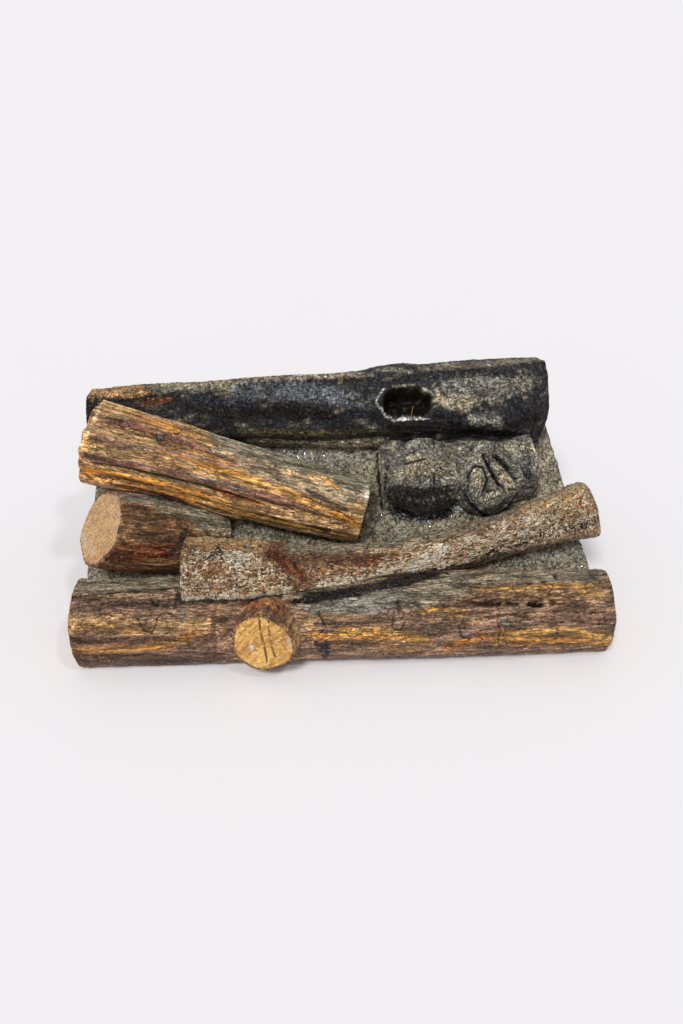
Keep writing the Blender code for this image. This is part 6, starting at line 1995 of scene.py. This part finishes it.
class LOGSET_OT_finishes(bpy.types.Operator):
    """Mix the bark, ash, saw-cut and glitter finishes"""

    bl_idname = "logset.finishes"
    bl_label = "Finishes"

    def execute(self, context):
        look = context.scene.logset_bark
        grain_group()
        dust_and_shade_group()
        painted_bark(
            "brown_bark", dust=-0.10, dust_colour=tuple(look.bark_dust), roughness=look.roughness,
            contrast=0.60, lift=1.50, crack_cover=0.75, fleck=DYES["brown fleck"], fleck_cover=0.5,
        )
        painted_bark(
            "charred_bark", dust=0.03, dust_colour=tuple(look.char_dust), roughness=0.40,
            contrast=0.85, lift=1.50, crack_cover=0.85, fleck=DYES["char fleck"], fleck_cover=0.30,
            vein_gain=1.2,
        )
        birch_material()
        sawn_material(
            "golden_saw_cut", line_angle=math.radians(35), line_cover=0.55, line=DYES["golden line"],
            fleck=DYES["golden fleck"],
        )
        sawn_material(
            "pale_saw_cut", line_angle=math.radians(60), line_cover=0.35, line=DYES["pale line"],
            fleck=DYES["pale fleck"], more_specks=0.035,
        )
        ash_material()
        plain_finish("old_wire", DYES["wire"], roughness=0.5, metallic=0.0)
        plain_finish("glitter", (0.86, 0.87, 0.88), roughness=0.18, metallic=0.6, speckle=0.1)
        return {"FINISHED"}


class LOGSET_OT_fittings(bpy.types.Operator):
    """Finish the lamp tray, lamps, spinners, brackets and wiring"""

    bl_idname = "logset.fittings"
    bl_label = "Fittings"

    def execute(self, context):
        finish_fittings()
        return {"FINISHED"}


class LOGSET_OT_ember_bed(bpy.types.Operator):
    """Fold and paint the ember bed"""

    bl_idname = "logset.ember_bed"
    bl_label = "Ember Bed"

    def execute(self, context):
        bed = BedSheet()
        bed.carve()
        bed.colour()
        bed.finish()
        return {"FINISHED"}


class LOGSET_OT_glitter(bpy.types.Operator):
    """Scatter the glitter on the ember bed"""

    bl_idname = "logset.glitter"
    bl_label = "Glitter"

    def execute(self, context):
        make_glitter()
        return {"FINISHED"}


class LOGSET_OT_brown_logs(bpy.types.Operator):
    """Roll, carve and paint the front log, its branch, the short log and the split log"""

    bl_idname = "logset.brown_logs"
    bl_label = "Brown Logs"

    def execute(self, context):
        look = context.scene.logset_bark
        make_brown_log("front_log", look.bark_depth, FRONT_STROKES, ground="mauve")
        make_brown_log(
            "front_branch", look.branch_depth, BRANCH_STROKES, ground="brown", brightness=1.1,
            grain_scale=(0.5, 0.5, 2.6), face_finish="golden_saw_cut", face_strokes=STUB_STROKES,
            face_ground="gold",
        )
        make_brown_log(
            "short_log", look.short_depth, SHORT_STROKES, ground="brown", brightness=1.15,
            face_strokes=SHORT_FACE_STROKES,
        )
        make_brown_log("split_log", look.split_depth, SPLIT_STROKES, ground="tan", brightness=1.35)
        return {"FINISHED"}


class LOGSET_OT_birch_log(bpy.types.Operator):
    """Roll, carve and paint the birch log"""

    bl_idname = "logset.birch_log"
    bl_label = "Birch Log"

    def execute(self, context):
        make_birch_log()
        return {"FINISHED"}


class LOGSET_OT_burnt_logs(bpy.types.Operator):
    """Roll, carve and paint the burnt back log with its hole, the charred log and the two knots"""

    bl_idname = "logset.burnt_logs"
    bl_label = "Burnt Logs"

    def execute(self, context):
        depth = context.scene.logset_bark.knot_depth
        make_back_log()
        make_charred_log()
        make_knot("left_knot", LEFT_KNOT_STROKES, depth)
        make_knot("right_knot", RIGHT_KNOT_STROKES, depth)
        return {"FINISHED"}


class LOGSET_PT_panel(bpy.types.Panel):
    """Everything that makes the log set"""

    bl_label = "Log Set"
    bl_idname = "LOGSET_PT_panel"
    bl_space_type = "VIEW_3D"
    bl_region_type = "UI"
    bl_category = "Log Set"

    def draw(self, context):
        for group in (context.scene.logset_bark, context.scene.logset_stage):
            for name in group.bl_rna.properties.keys():
                if name not in ("rna_type", "name"):
                    self.layout.prop(group, name)
        for operator in OPERATORS:
            self.layout.operator(operator.bl_idname)


OPERATORS = (
    LOGSET_OT_finishes, LOGSET_OT_stage, LOGSET_OT_fittings, LOGSET_OT_ember_bed, LOGSET_OT_brown_logs,
    LOGSET_OT_birch_log, LOGSET_OT_burnt_logs, LOGSET_OT_glitter,
)
CLASSES = (BarkSettings, StageSettings, *OPERATORS, LOGSET_PT_panel)


def register():
    """Makes the settings, the operators and the panel known."""
    for made in CLASSES:
        bpy.utils.register_class(made)
    bpy.types.Scene.logset_bark = PointerProperty(type=BarkSettings)
    bpy.types.Scene.logset_stage = PointerProperty(type=StageSettings)


def unregister():
    """Takes them away again."""
    del bpy.types.Scene.logset_stage
    del bpy.types.Scene.logset_bark
    for made in reversed(CLASSES):
        bpy.utils.unregister_class(made)


def main():
    """Dresses the frame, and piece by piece."""
    register()
    bpy.ops.logset.finishes()
    bpy.ops.logset.stage()
    bpy.ops.logset.fittings()
    bpy.ops.logset.ember_bed()
    bpy.ops.logset.brown_logs()
    bpy.ops.logset.birch_log()
    bpy.ops.logset.burnt_logs()
    bpy.ops.logset.glitter()


if __name__ == "__main__":
    main()
